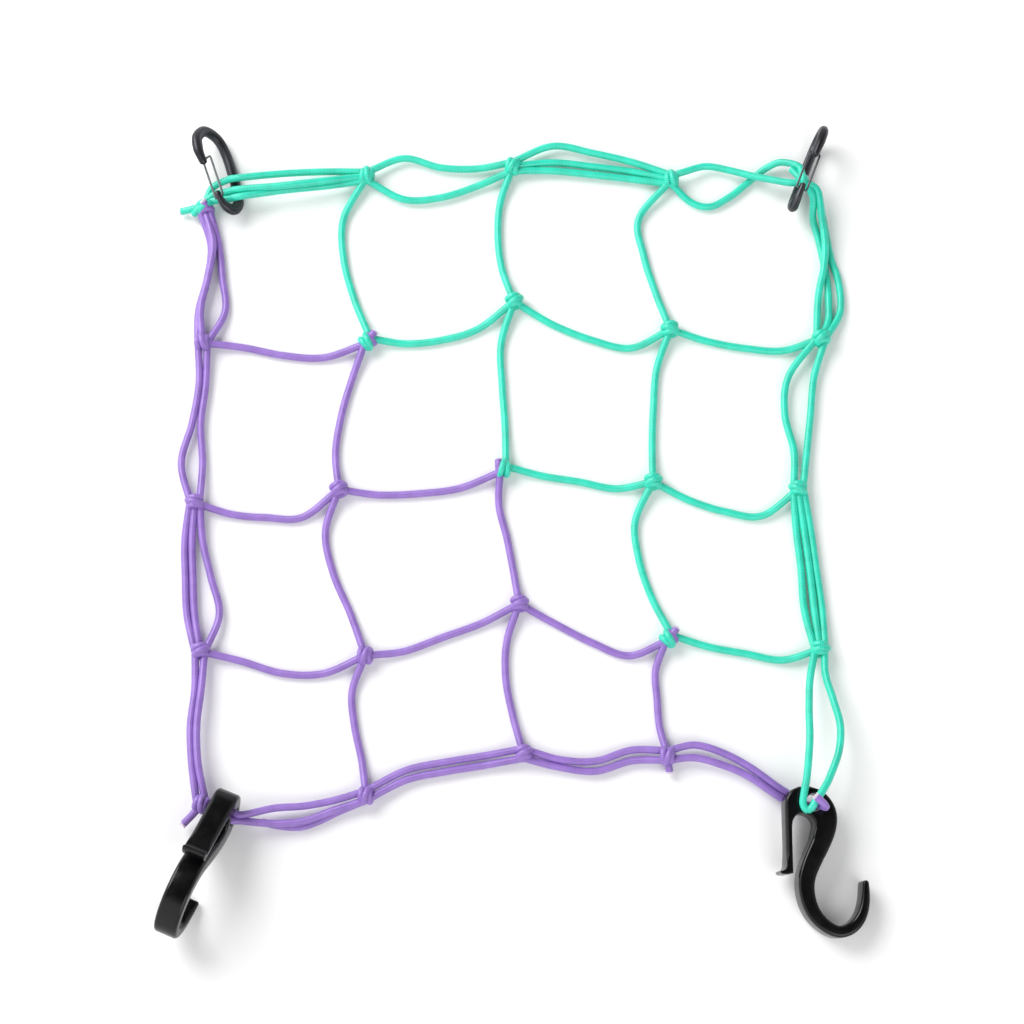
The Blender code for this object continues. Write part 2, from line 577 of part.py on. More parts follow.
def carabiner_gate(name: str, frame, home, workshop, finish) -> bpy.types.Object:
    """Make the wire gate, with its origin on its own axis."""
    gate = add_object(name, tube_mesh(gate_path(), WIRE, workshop, sides=1), home)
    gate.data.materials.append(finish)
    gate.parent = frame
    gate.location = Vector((*PIVOT, 0.0)) * MM
    return gate


def piece_frame(name: str, pose: Pose, home) -> bpy.types.Object:
    """Add an empty at a hard piece's place."""
    frame = bpy.data.objects.new(name, None)
    home.objects.link(frame)
    frame.matrix_world = pose_matrix(pose)
    return frame


# ---- the hooks -------------------------------------------------------------
def ribbon_outline(stations, step: float):
    """Return the closed outline of a bar of changing width, with a rounded far end."""
    line, halves = line_and_radii(stations, step)
    left, right = [], []
    for i, (place, half) in enumerate(zip(line, halves)):
        along = (line[min(i + 1, len(line) - 1)] - line[max(i - 1, 0)]).normalized()
        normal = Vector((-along.y, along.x, 0.0))
        left.append(place + normal * half)
        right.append(place - normal * half)
    end = (line[-1] - line[-2]).normalized() * halves[-1]
    tip = [line[-1] + end * 0.75 + (left[-1] - line[-1]) * 0.66,
           line[-1] + end * 0.75 + (right[-1] - line[-1]) * 0.66]
    return left + tip + right[::-1]


def slab_object(name: str, outline, depth: float, home) -> bpy.types.Object:
    """Extrude a flat outline, mm, to both sides of the middle plane."""
    curve = bpy.data.curves.new(name, "CURVE")
    curve.dimensions = "2D"
    curve.fill_mode = "BOTH"
    curve.extrude = depth / 2 * MM
    spline = curve.splines.new("POLY")
    spline.points.add(len(outline) - 1)
    for point, place in zip(spline.points, outline):
        point.co = (place.x * MM, place.y * MM, 0.0, 1.0)
    spline.use_cyclic_u = True
    item = bpy.data.objects.new(name, curve)
    home.objects.link(item)
    return add_object(name, mesh_of(item), home)


def build_hook(name: str, pose: Pose, home, workshop, finish) -> bpy.types.Object:
    """Make a moulded hook in one: its J body with the cord eye, its snap arm and lip."""
    end = HOOK_ARM[-1]
    lip = [Vector((end.x + 0.6, end.y - 0.2, 0.0)), Vector((end.x - 0.8, end.y + 1.6, 0.0)),
           Vector((end.x - LIP_LENGTH, end.y - LIP_HALF, 0.0)),
           Vector((end.x - LIP_LENGTH, end.y - 2.2 * LIP_HALF, 0.0)),
           Vector((end.x + 0.9, end.y - 2.2 * LIP_HALF, 0.0))]
    hook = slab_object(name, ribbon_outline(HOOK_BODY, HOOK_STEP), HOOK_DEPTH, home)
    extras = make_collection("extras_" + name)
    slab_object("arm", ribbon_outline(HOOK_ARM, HOOK_STEP * 2), HOOK_DEPTH, extras)
    slab_object("lip", lip, HOOK_DEPTH, extras)
    carve(hook, "UNION", extras)
    for item in list(extras.objects):
        bpy.data.objects.remove(item, do_unlink=True)
    bpy.data.collections.remove(extras)
    carve(hook, "DIFFERENCE", cylinder_object(EYE, EYE_RADIUS, HOOK_DEPTH * 2, EYE_SIDES, workshop))
    hook.data.materials.clear()
    hook.data.materials.append(finish)
    hook.matrix_world = pose_matrix(pose)
    return hook


# ---- the whole net ---------------------------------------------------------
def outline_box(items):
    """Return the lowest and highest corners of all the pieces together."""
    bpy.context.view_layer.update()
    places = [item.matrix_world @ vertex.co for item in items for vertex in item.data.vertices]
    low = Vector([min(p[i] for p in places) for i in range(3)])
    high = Vector([max(p[i] for p in places) for i in range(3)])
    return low, high


def centre_on_origin(items, frames) -> None:
    """Move everything so that the outline's middle is over the origin, at the surface."""
    low, high = outline_box(items)
    shift = Vector((-(low.x + high.x) / 2, -(low.y + high.y) / 2, 0.0))
    for item in [*frames, *[piece for piece in items if piece.parent is None]]:
        item.location += shift
    print("middle of the outline, mm:", [round(-v / MM, 3) for v in shift],
          "lowest, mm:", round(low.z / MM, 3))


def main() -> None:
    """Build the net, its carabiners and its hooks."""
    clear_scene()
    home = make_collection("luggage_net")
    workshop = make_collection("cutters")
    mint = material("mint_cord", (0.02, 0.66, 0.38), 0.6, 0.0)
    purple = material("purple_cord", (0.35, 0.17, 0.75), 0.6, 0.0)
    black = material("black_anodised", (0.02, 0.02, 0.025), 0.3, 0.8)
    steel = material("bright_wire", (0.75, 0.76, 0.78), 0.2, 1.0)
    plastic = material("black_plastic", (0.012, 0.012, 0.014), 0.25, 0.0)
    knots = all_knots()
    items = [build_net("mint", knots, home, workshop, mint),
             build_net("purple", knots, home, workshop, purple)]
    frames = []
    for side, pose in (("left", CARABINER_LEFT), ("right", CARABINER_RIGHT)):
        frame = piece_frame("carabiner_frame_" + side, pose, home)
        frames.append(frame)
        items.append(carabiner_body("carabiner_" + side, frame, home, workshop, black))
        items.append(carabiner_gate("gate_" + side, frame, home, workshop, steel))
    for side, pose in (("left", HOOK_LEFT), ("right", HOOK_RIGHT)):
        items.append(build_hook("hook_" + side, pose, home, workshop, plastic))
    for cutter in list(workshop.objects):
        bpy.data.objects.remove(cutter, do_unlink=True)
    for item in items:
        item.data.shade_smooth()
        item.data.set_sharp_from_angle(angle=math.radians(40))
    centre_on_origin(items, frames)


main()
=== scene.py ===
"""Looks of the elastic luggage net: braided shock cord tied in knots, two small
wire-gate carabiners and two moulded snap hooks, on a pale studio floor.

Lengths are millimetres in the net's own layout axes: +X to the right, +Y to the
carabiners' edge, +Z up from the surface. Layout.metres() turns them into the
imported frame, which has its origin at the middle of the outline.
"""

import logging
import math
import random
from dataclasses import dataclass, field
from enum import Enum
from typing import Iterable, NamedTuple, Optional, Sequence

import bmesh
import bpy
from mathutils import Matrix, Vector
from mathutils.geometry import delaunay_2d_cdt

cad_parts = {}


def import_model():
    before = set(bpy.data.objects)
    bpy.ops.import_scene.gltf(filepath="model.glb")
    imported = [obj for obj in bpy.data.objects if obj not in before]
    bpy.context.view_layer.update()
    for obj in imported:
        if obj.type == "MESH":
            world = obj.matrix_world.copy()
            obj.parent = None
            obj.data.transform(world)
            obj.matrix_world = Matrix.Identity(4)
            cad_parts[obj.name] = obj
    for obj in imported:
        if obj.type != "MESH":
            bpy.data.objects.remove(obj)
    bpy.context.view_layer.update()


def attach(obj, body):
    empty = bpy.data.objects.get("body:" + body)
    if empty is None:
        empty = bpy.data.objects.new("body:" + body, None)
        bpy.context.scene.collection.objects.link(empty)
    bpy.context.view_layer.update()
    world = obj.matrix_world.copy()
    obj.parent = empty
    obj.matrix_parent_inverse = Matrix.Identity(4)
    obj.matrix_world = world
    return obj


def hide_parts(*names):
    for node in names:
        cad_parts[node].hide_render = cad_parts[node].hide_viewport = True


LOG = logging.getLogger("luggage_net")
MM = 0.001


# ---- tables shared with the solids
Place = tuple[float, float, float]


class Pose(NamedTuple):
    """A hard piece's place: its middle, mm, and its turns, degrees."""
    x: float
    y: float
    z: float
    heading: float
    pitch: float
    roll: float


class Knot(NamedTuple):
    """A knot's middle, mm, the heading of its wraps, degrees, and its size as a share."""
    x: float
    y: float
    z: float
    turn: float
    size: float = 1.0


class Run(NamedTuple):
    """One cord from knot to knot.

    lane is its place across the bundle inside the knots. at_1, at_2 and at_3
    are how far it lies off the straight line at each quarter, mm: to the
    right for a run down the net, towards the top for a run across it. lift
    is how far it floats over the surface.
    """
    start: str
    end: str
    lane: float
    at_1: float
    at_2: float
    at_3: float
    lift: float


class Colour(Enum):
    """The net's two cord colours."""
    MINT = "mint"
    PURPLE = "purple"


class Side(Enum):
    """The net's two sides, as seen with the carabiners' edge at the top."""
    LEFT = "left"
    RIGHT = "right"


CARABINER_POSES = {Side.LEFT: Pose(-151, 179.4, 10.4, 20.4, 4, 50.5),
                   Side.RIGHT: Pose(152, 178.8, 13.8, -21.4, -3, 97)}
HOOK_POSES = {Side.LEFT: Pose(-148.1, -174.3, 21.2, -23, -23.5, 88.5),
              Side.RIGHT: Pose(142.5, -174.9, 9.9, 0, 2.5, 6.5)}

EAST, NORTH, UP = Vector((1, 0, 0)), Vector((0, 1, 0)), Vector((0, 0, 1))
CORD_RADIUS = 1.85          # round elastic cord, 3.7 across
CORD_FLOOR = 1.95           # lowest height of a cord's middle over the surface
KNOT_HEIGHT = 4.45          # middle of a field knot over the surface
LANE = 2.3                  # spacing of the cords of a bundle inside a knot
SEAM_INSET = 2.2            # from a two-colour knot's middle to each colour's half
MIDDLE = Vector((-0.518, -5.056, 0))    # middle of the laid-out net's outline

KNOTS = {
    "K00": Knot(-158, 161, 5, 70), "K01": Knot(-75, 178.5, 5, 15),
    "K02": Knot(0.5, 184, 5, -20), "K03": Knot(82.5, 176.5, 5, 10),
    "K10": Knot(-157, 87.5, 5, 95), "K11": Knot(-73.5, 88.5, KNOT_HEIGHT, 40),
    "K12": Knot(1, 110, KNOT_HEIGHT, 5), "K13": Knot(80.5, 95, KNOT_HEIGHT, 0),
    "K14": Knot(157, 90, 5, 80),
    "K20": Knot(-158, 3.5, 5, 90), "K21": Knot(-86.5, 10.5, KNOT_HEIGHT, -10),
    "K22": Knot(-4.5, 21, KNOT_HEIGHT, -30), "K23": Knot(70.5, 14.5, KNOT_HEIGHT, 10),
    "K24": Knot(143, 10.5, 5, 85),
    "K30": Knot(-153, -72, 5, 90), "K31": Knot(-72, -74, KNOT_HEIGHT, 20),
    "K32": Knot(3.5, -48, KNOT_HEIGHT, 15), "K33": Knot(77, -65.5, KNOT_HEIGHT, -20),
    "K34": Knot(151, -71, 5, 80),
    "K41": Knot(-70.5, -143, 5, 10), "K42": Knot(5.5, -122.5, 5, 0),
    "K43": Knot(75.5, -123.5, 5, 5)}
# two corner knots are held by the hard pieces: places in the piece's own axes
KNOT_AT_LEFT_HOOK = (1.8, 27.2, -11.5)
LEFT_HOOK_KNOT_TURN = -23
KNOT_IN_RIGHT_CARABINER = (2.5, -6, -0.2)
RIGHT_CARABINER_KNOT_TURN = -21
RIGHT_CARABINER_KNOT_SIZE = 0.76

# knots that tie the two colours together, with the heading, in degrees, of the
# line that looks from the purple half to the mint half
SHARED_KNOTS = {"K00": 90, "K11": 45, "K22": 45, "K33": 45}
PURPLE_KNOTS = {"K10", "K20", "K21", "K30", "K31", "K32", "K40", "K41", "K42", "K43"}

MINT_DOWN = [
    Run("K01", "K11", 0, -12.5, -13, -8, 0), Run("K02", "K12", 0, -6.5, -8, -6, 0),
    Run("K12", "K22", 0, -5.5, -4, -1.5, 0), Run("K03", "K13", 0, -16.5, -13.8, -7.5, 0),
    Run("K13", "K23", 0, -4.5, -4, -2.5, 0), Run("K23", "K33", 0, -11, -11.5, -7.5, 0),
    Run("K14", "K24", -1, -13.5, -12.5, -5, 1.5), Run("K14", "K24", 1, -0.5, 0.5, 1.5, 1),
    Run("K24", "K34", -1.1, -3.6, -3.8, -4.8, 1), Run("K24", "K34", 0, 0.2, 0.4, 0, 1.5),
    Run("K24", "K34", 1.1, 3.6, 3.8, 4, 1)]
MINT_ACROSS = [
    Run("K11", "K12", 0, -7, -10, -9, 0), Run("K12", "K13", 0, -8, -12.5, -13, 0),
    Run("K13", "K14", 0, -4.5, -7, -7, 0), Run("K22", "K23", 0, -2.5, -3.5, -5, 0),
    Run("K23", "K24", 0, -8, -13, -14, 0), Run("K33", "K34", 0, -3.5, -5.2, -6.6, 0),
    Run("K01", "K02", 1, 9, 2.6, 0.6, 1.5), Run("K01", "K02", -1, -13.5, -14, -9, 1),
    Run("K02", "K03", 1.1, 13.4, 11.6, 8.4, 2), Run("K02", "K03", 0, 4.6, 4.4, 3.4, 1),
    Run("K02", "K03", -1.1, -0.2, -0.4, -1, 1.5)]
PURPLE_DOWN = [
    Run("K11", "K21", 0, -3.5, -5.5, -5, 0), Run("K21", "K31", 0, -10, -9.5, -4, 0),
    Run("K31", "K41", 0, -6.5, -5.5, -2, 0), Run("K22", "K32", 0, -2.8, -1.2, -0.4, 0),
    Run("K32", "K42", 0, -6.5, -7.5, -4.5, 0), Run("K33", "K43", 0, -5, -4.5, -3.5, 0),
    Run("K00", "K10", -1.1, 2.9, 1.3, -2.8, 0), Run("K00", "K10", 0, 4.4, 2.2, -1.3, 3.5),
    Run("K00", "K10", 1.1, 7.1, 9.2, 10.8, 0.3),
    Run("K10", "K20", -1, -1, -3.5, -8, 1.5), Run("K10", "K20", 1, 2.4, 0.8, 2.6, 1),
    Run("K20", "K30", -1.1, -5.8, -6.2, -6, 1), Run("K20", "K30", 0, -2.2, -2.4, -2.2, 1.5),
    Run("K20", "K30", 1.1, 3, 6.5, 10, 1.5),
    Run("K30", "K40", -1, -2.6, -5, -4.4, 4), Run("K30", "K40", 1, 0.6, -1.8, -1.2, 5)]
PURPLE_ACROSS = [
    Run("K10", "K11", 0, -1.5, -5.5, -6.5, 0), Run("K20", "K21", 0, -7, -10.5, -12, 0),
    Run("K21", "K22", 0, -4.5, -6, -5.5, 0), Run("K30", "K31", 0, -4, -9.5, -9, 0),
    Run("K31", "K32", 0, -4, -3.5, -3, 0), Run("K32", "K33", 0, -5, -9.6, -11.4, 0),
    Run("K41", "K42", 1, 7.2, 6.2, 4.2, 1.5), Run("K41", "K42", -1, 2.6, 1.6, -0.4, 1),
    Run("K42", "K43", 1, -2.6, -3.1, 2.5, 2), Run("K42", "K43", -1, -6.2, -7.9, -2.6, 1)]

# two mint cords from K03 that cross each other on the way to K04
CROSSING_CORDS = {
    "over": [(88.2, 180.2, 6), (100.1, 184.1, 4.5), (111.7, 181.8, 5.2),
             (124.7, 177.6, 7), (134.5, 174.7, 9), (144, 172.2, 11)],
    "under": [(92, 165.1, 3), (102, 162.6, 2.2), (111.7, 167.5, 2.2),
              (119.6, 173.8, 2.2), (125.2, 178.7, 2.6), (131.4, 183.1, 4),
              (138.5, 185.5, 6.5), (146.4, 183.1, 9), (148.9, 180.2, 9.6)]}
# cords that go through the eyes of the hard pieces: places in the piece's own axes
LEFT_CARABINER_CORDS = {    # where each crosses the eye, its bows to K01 and their lift
    "low": ((0.2, -16.2, 0), (0.7, 0.1), -1),
    "middle": ((0.6, -12.2, 0), (-1.5, -1.2), 2.4),
    "high": ((3, -5.6, 0), (1.6, 1.6), -1)}
LEFT_HOOK_CORDS = {         # where each crosses the eye, how it leaves it, its bows to K41
    "upper": ((0.8, 29.1), 0.8, (0.4, -1.4, -1.4)),
    "lower": ((2.8, 25.7), 1.8, (-3.6, -5, -2.1))}
HOOK_EYE_DEPTHS = (-7, 4, 9)        # through the hook: before, within and beyond its eye
# a third cord that shows from under the lower one, in the layout's own axes
UNDER_CORD = [(-120.5, -155.6, 3.5), (-111.9, -157.3, 2), (-102.2, -157.8, 2),
              (-93.6, -155.1, 2), (-83.1, -150.1, 2)]
# three mint cords from K04, outside the bar, to K14, in the layout's own axes: the
# first lies over the other two and crosses them
RIGHT_CARABINER_CORDS = {
    "over": [(156.9, 168.6, 10.4), (158.9, 154.6, 8.6), (160.4, 140.8, 6.6), (159.6, 128.1, 5.6),
             (157, 116.4, 4), (155.8, 105.9, 3)],
    "left": [(154.6, 165.3, 9.8), (154.9, 154.6, 5), (157.8, 143.6, 3), (159.9, 132.4, 2),
             (161.4, 120.9, 2), (161.8, 109.9, 2), (161.1, 100, 3)],
    "right": [(157.2, 168, 8.5), (159.8, 157.2, 4.6), (162.1, 144.2, 2.6), (163.9, 133.5, 2),
              (166.7, 124.3, 2), (168.1, 112, 2), (166.6, 102.5, 2.5)]}
MINT_HITCH = [
    (-0.9, 57, 8.6), (-2.8, 40, 9.2), (-4.6, 30, 8.6), (-4.9, 26, 8.4),
    (-3.4, 23.3, 8.6), (-1, 24.2, 9.4), (0.4, 26.8, 10.2), (3, 30.4, 10.2),
    (6.4, 35.4, 9), (9, 40, 7.4), (14.1, 52, 5)]
MINT_HITCH_BOWS = ((-3.2, -2), (3, 1.9, 0.4))      # of the cord's two legs from K34
PURPLE_HITCH = {            # each end's bows from K43 and its route on the hook
    "tail": ((8.9, 9, 5.8), [
             (-13.5, 36, -8.3), (-8, 32.6, -8.3), (-2, 28.6, -8.3), (1.6, 27, -7.6),
             (3.1, 26.2, -5), (3.3, 26, 0), (3.3, 26, 6), (4.2, 25.2, 8.8),
             (5.2, 24.4, 11.4), (4.6, 25, 13.4), (2.8, 26.6, 14.4), (0.2, 28.9, 14.4)]),
    "end": ((3.5, 4.9, 4.1), [(-15, 32.6, -8.3), (-10.2, 29.6, -8.3), (-5.6, 26.8, -8.3)])}
# where a mint cord lies before and after it crosses the left carabiner's eye
BEFORE_EYE, AFTER_EYE = Vector((-2, 1.5, -0.6)), Vector((6.5, 0.6, 2))


# ---- geometry helpers
class Layout:
    """Turns places in the layout, or in a hard piece's own axes, into the frame."""

    @staticmethod
    def matrix(pose: Pose) -> Matrix:
        """Turn a pose into a matrix: roll about Y first, then pitch, then heading.

        Args:
            pose: the place and the turns of a hard piece.

        Returns:
            Its matrix, mm.
        """
        turn = (Matrix.Rotation(math.radians(pose.heading), 4, "Z")
                @ Matrix.Rotation(math.radians(pose.pitch), 4, "X")
                @ Matrix.Rotation(math.radians(pose.roll), 4, "Y"))
        return Matrix.Translation(Vector((pose.x, pose.y, pose.z))) @ turn

    @classmethod
    def at(cls, pose: Pose, place: Sequence[float]) -> Vector:
        """Return a place in a piece's own axes as a place in the layout, mm."""
        return cls.matrix(pose) @ Vector(place)

    @staticmethod
    def metres(place: Vector) -> Vector:
        """Return a place in the layout, mm, as a place in the frame, metres."""
        return (place - MIDDLE) * MM


def smooth_path(points: Iterable[Sequence[float]], step: float) -> list[Vector]:
    """Return points on a smooth curve through the given ones.

    Args:
        points: the places that the curve passes through, mm.
        step: the distance between the points returned, mm.

    Returns:
        The points of the curve, from the first place to the last.
    """
    points = [Vector(point) for point in points]
    ends = [points[0] * 2 - points[1], *points, points[-1] * 2 - points[-2]]
    path = [points[0]]
    for a, b, c, d in zip(ends, ends[1:], ends[2:], ends[3:]):
        pieces = max(1, round((c - b).length / step))
        for t in (i / pieces for i in range(1, pieces + 1)):
            path.append(((b * 2) + (c - a) * t + (a * 2 - b * 5 + c * 4 - d) * t ** 2
                         + (b * 3 - a - c * 3 + d) * t ** 3) * 0.5)
    return path


def bows(start: Vector, end: Vector, across: Vector, offsets: Sequence[float],
         lift: float = 0.0) -> list[Vector]:
    """Put points at even shares of the way between two places.

    Args:
        start, end: the two places, mm.
        across: the direction that the bows are measured in.
        offsets: how far each point is moved that way, mm.
        lift: how far all of them are raised, mm.

    Returns:
        The points, without the two places.
    """
    count = len(offsets) + 1
    return [start.lerp(end, (i + 1) / count) + across * offset + UP * lift
            for i, offset in enumerate(offsets)]


def circle(count: int) -> list[tuple[float, float]]:
    """Return the corners of a regular outline with a radius of one."""
    turns = [2 * math.pi * k / count for k in range(count)]
    return [(math.cos(turn), math.sin(turn)) for turn in turns]


def placed(name: str, data: bpy.types.ID) -> bpy.types.Object:
    """Return a new object of the scene with the given mesh, light or camera."""
    made = bpy.data.objects.new(name, data)
    bpy.context.scene.collection.objects.link(made)
    return made


@dataclass
class Tubes:
    """Collects swept tubes into one mesh, with a UV map in mm along and turns round."""
    sides: int = 14
    dome: tuple[float, ...] = (0.5, 1.0, 1.4)       # angles of a rounded end's rings
    vertices: list[Vector] = field(default_factory=list)
    faces: list[tuple[int, ...]] = field(default_factory=list)
    uvs: list[tuple[float, float]] = field(default_factory=list)

    def sweep(self, path: Sequence[Vector], radii: Sequence[float],
              profile: Optional[Sequence[tuple[float, float]]] = None,
              side: Optional[Vector] = None, rounding: float = 0.0) -> None:
        """Add one tube with closed ends.

        Args:
            path: the tube's middle line, mm.
            radii: the tube's radius at each point of the path, mm.
            profile: the section's outline for a radius of one, or None for a circle.
            side: the direction of the section's first axis at the path's start.
            rounding: how far the rounded ends stand out, as a share of the radius.
        """
        profile = profile or circle(self.sides)
        count = len(profile)
        steps = [b - a for a, b in zip(path, path[1:])]
        along = [(steps[max(i - 1, 0)].normalized()
                  + steps[min(i, len(steps) - 1)].normalized()).normalized()
                 for i in range(len(path))]
        first = side or along[0].orthogonal()
        rings: list[tuple[Vector, Vector, Vector, float, float]] = []
        length = 0.0
        for i, (place, way, radius) in enumerate(zip(path, along, radii)):
            if i:
                first = along[i - 1].rotation_difference(way) @ first
                length += steps[i - 1].length
            first = (first - way * first.dot(way)).normalized()
            rings.append((place, first, way.cross(first), radius, length))
        if rounding:
            rings = self._rounded(rings, along, rounding)
        base = len(self.vertices)
        for place, one, two, radius, _ in rings:
            self.vertices += [place + (one * u + two * v) * radius for u, v in profile]
        for i in range(len(rings) - 1):
            a, b = base + i * count, base + (i + 1) * count
            low, high = rings[i][4], rings[i + 1][4]
            for k in range(count):
                j = (k + 1) % count
                self.faces.append((a + k, a + j, b + j, b + k))
                self.uvs += [(at, turn / count) for at, turn in
                             ((low, k), (low, k + 1), (high, k + 1), (high, k))]
        last = len(self.vertices) - count
        for corner, ks in ((base, range(count)[::-1]), (last, range(count))):
            self.faces.append(tuple(corner + k for k in ks))
            self.uvs += [(0.0 if corner == base else length, k / count) for k in ks]

    def _rounded(self, rings: list, along: list[Vector], rounding: float) -> list:
        """Dome both ends of a tube.

        Args:
            rings: the rings of one tube.
            along: the tube's direction at each of them.
            rounding: how far its ends stand out, as a share of the radius.

        Returns:
            The rings with those of both ends.
        """
        ends = []
        for (place, one, two, radius, length), way in ((rings[0], -along[0]),
                                                       (rings[-1], along[-1])):
            ends.append([(place + way * (math.sin(a) * radius * rounding), one, two,
                          radius * math.cos(a), length) for a in self.dome])
        return ends[0][::-1] + rings + ends[1]

    def mesh(self, name: str) -> bpy.types.Mesh:
        """Make one mesh of all the tubes.

        Args:
            name: the mesh's name.

        Returns:
            The mesh, smooth, in the frame's metres.
        """
        made = bpy.data.meshes.new(name)
        made.from_pydata([Layout.metres(v) for v in self.vertices], [], self.faces)
        layer = made.uv_layers.new(name="along")
        layer.data.foreach_set("uv", [value for uv in self.uvs for value in uv])
        made.shade_smooth()
        made.set_sharp_from_angle(angle=math.radians(50))
        return made


def add_piece(name: str, mesh: bpy.types.Mesh, finish: bpy.types.Material, body: str,
              slot: str, *replaced: str) -> bpy.types.Object:
    """Add one visible piece of the object.

    Args:
        name: the piece's name.
        mesh: its mesh, in metres.
        finish: its material.
        body: the CAD body it rides on.
        slot: the name of the piece's material slot; it is not used.
        replaced: the CAD nodes it stands for.

    Returns:
        The new object.
    """
    piece = placed(name, mesh)
    mesh.materials.append(finish)
    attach(piece, body)
    if replaced:
        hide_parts(*replaced)
    LOG.info("%s: %d faces", name, len(mesh.polygons))
    return piece


# ---- finishes
def linear(code: str) -> tuple[float, float, float, float]:
    """Return an sRGB hex colour as linear red, green, blue and alpha."""
    parts = [int(code[i:i + 2], 16) / 255 for i in (1, 3, 5)]
    turned = [p / 12.92 if p <= 0.04045 else ((p + 0.055) / 1.055) ** 2.4 for p in parts]
    return (*turned, 1.0)


def feed(node: bpy.types.Node, inputs: dict) -> None:
    """Set or link a node's inputs.

    Args:
        node: the node.
        inputs: for each input, by name or number, a value, or the node or
            socket that feeds it.
    """
    for key, value in inputs.items():
        if isinstance(value, bpy.types.Node):
            value = value.outputs[0]
        if isinstance(value, bpy.types.NodeSocket):
            node.id_data.links.new(value, node.inputs[key])
        else:
            node.inputs[key].default_value = value


def add_node(tree: bpy.types.NodeTree, kind: str, inputs: Optional[dict] = None,
             **settings: object) -> bpy.types.Node:
    """Add a node with its settings, values and links.

    Args:
        tree: the node tree.
        kind: the node's type name, after the word that all of them start with.
        inputs: what each input gets, as feed() takes it.
        settings: the node's own settings.

    Returns:
        The new node.
    """
    node = tree.nodes.new("ShaderNode" + kind)
    for name, value in settings.items():
        setattr(node, name, value)
    feed(node, inputs or {})
    return node


def new_material(name: str) -> tuple[bpy.types.Material, bpy.types.NodeTree, bpy.types.Node]:
    """Return a new material, its node tree and its Principled shader."""
    made = bpy.data.materials.new(name)
    made.use_nodes = True
    return made, made.node_tree, made.node_tree.nodes["Principled BSDF"]


@dataclass(frozen=True)
class BraidedPolyester:
    """Shock cord: a braided polyester sleeve over rubber threads.

    The filaments lie in flat bundles that cross in small diamonds, so the eye
    gets a soft satin band along the lit side and a fine grain within it.
    """
    name: str
    base: str                   # sRGB of a bundle's crown
    painted_groove_shade: str                 # sRGB of the painted shade in the grooves between the bundles
    sheen: str                  # sRGB of the filaments' pale edge light
    bundles: int = 8            # bundles each way round the sleeve
    pick: float = 1.45          # mm along the cord from one bundle to the next
    depth: float = 0.00012      # m from a bundle's crown to the groove
    groove_shade_share: float = 0.55   # share of the colour's change that is painted shade in the grooves

    def material(self) -> bpy.types.Material:
        """Cross two spirals of bundles into a braid, with painted shade in the grooves between
        them.

        Returns:
            The sleeve's material.
        """
        made, tree, shader = new_material(self.name)
        place = add_node(tree, "UVMap", uv_map="along")
        parts = add_node(tree, "SeparateXYZ", {0: place})
        turn = 2 * math.pi
        along = add_node(tree, "Math", {0: parts.outputs["X"], 1: turn / self.pick},
                         operation="MULTIPLY")
        waves = []
        for way in (self.bundles, -self.bundles):
            phase = add_node(tree, "Math", {0: parts.outputs["Y"], 1: turn * way, 2: along},
                             operation="MULTIPLY_ADD")
            waves.append(add_node(tree, "Math", {0: phase}, operation="SINE"))
        crossing = add_node(tree, "Math", {0: waves[0], 1: waves[1]}, operation="MULTIPLY")
        crown = add_node(tree, "MapRange", {"Value": crossing, "From Min": -0.6,
                                            "From Max": 0.7})
        grain = add_node(tree, "TexNoise", {"Vector": place, "Scale": 0.09, "Detail": 2.0})
        # painted shade: the colour darkens towards the grooves between the bundles, with random
        # tone from the grain added
        share = add_node(tree, "Math", {0: crown, 1: self.groove_shade_share, 2: grain},
                         operation="MULTIPLY_ADD", use_clamp=True)
        colour = add_node(tree, "Mix", {"Factor": share, 6: linear(self.painted_groove_shade),
                                        7: linear(self.base)}, data_type="RGBA")
        bump = add_node(tree, "Bump", {"Height": crown, "Strength": 0.5,
                                       "Distance": self.depth})
        feed(shader, {"Base Color": colour.outputs[2], "Normal": bump, "Roughness": 0.36,
                      "IOR": 1.55, "Specular IOR Level": 0.65, "Sheen Weight": 0.06,
                      "Sheen Roughness": 0.35, "Sheen Tint": linear(self.sheen)})
        return made


@dataclass(frozen=True)
class RubberThread:
    """Latex threads of the cord's core, cut short: matt, off-white, a little dusty."""
    name: str = "latex_core_threads"
    base: str = "#F3ECF2"
    shade: str = "#CDBFD0"

    def material(self) -> bpy.types.Material:
        """Dust the threads.

        Returns:
            The threads' material.
        """
        made, tree, shader = new_material(self.name)
        dust = add_node(tree, "TexNoise", {"Scale": 900.0, "Detail": 3.0})
        colour = add_node(tree, "Mix", {"Factor": dust, 6: linear(self.shade),
                                        7: linear(self.base)}, data_type="RGBA")
        feed(shader, {"Base Color": colour.outputs[2], "Roughness": 0.7})
        return made


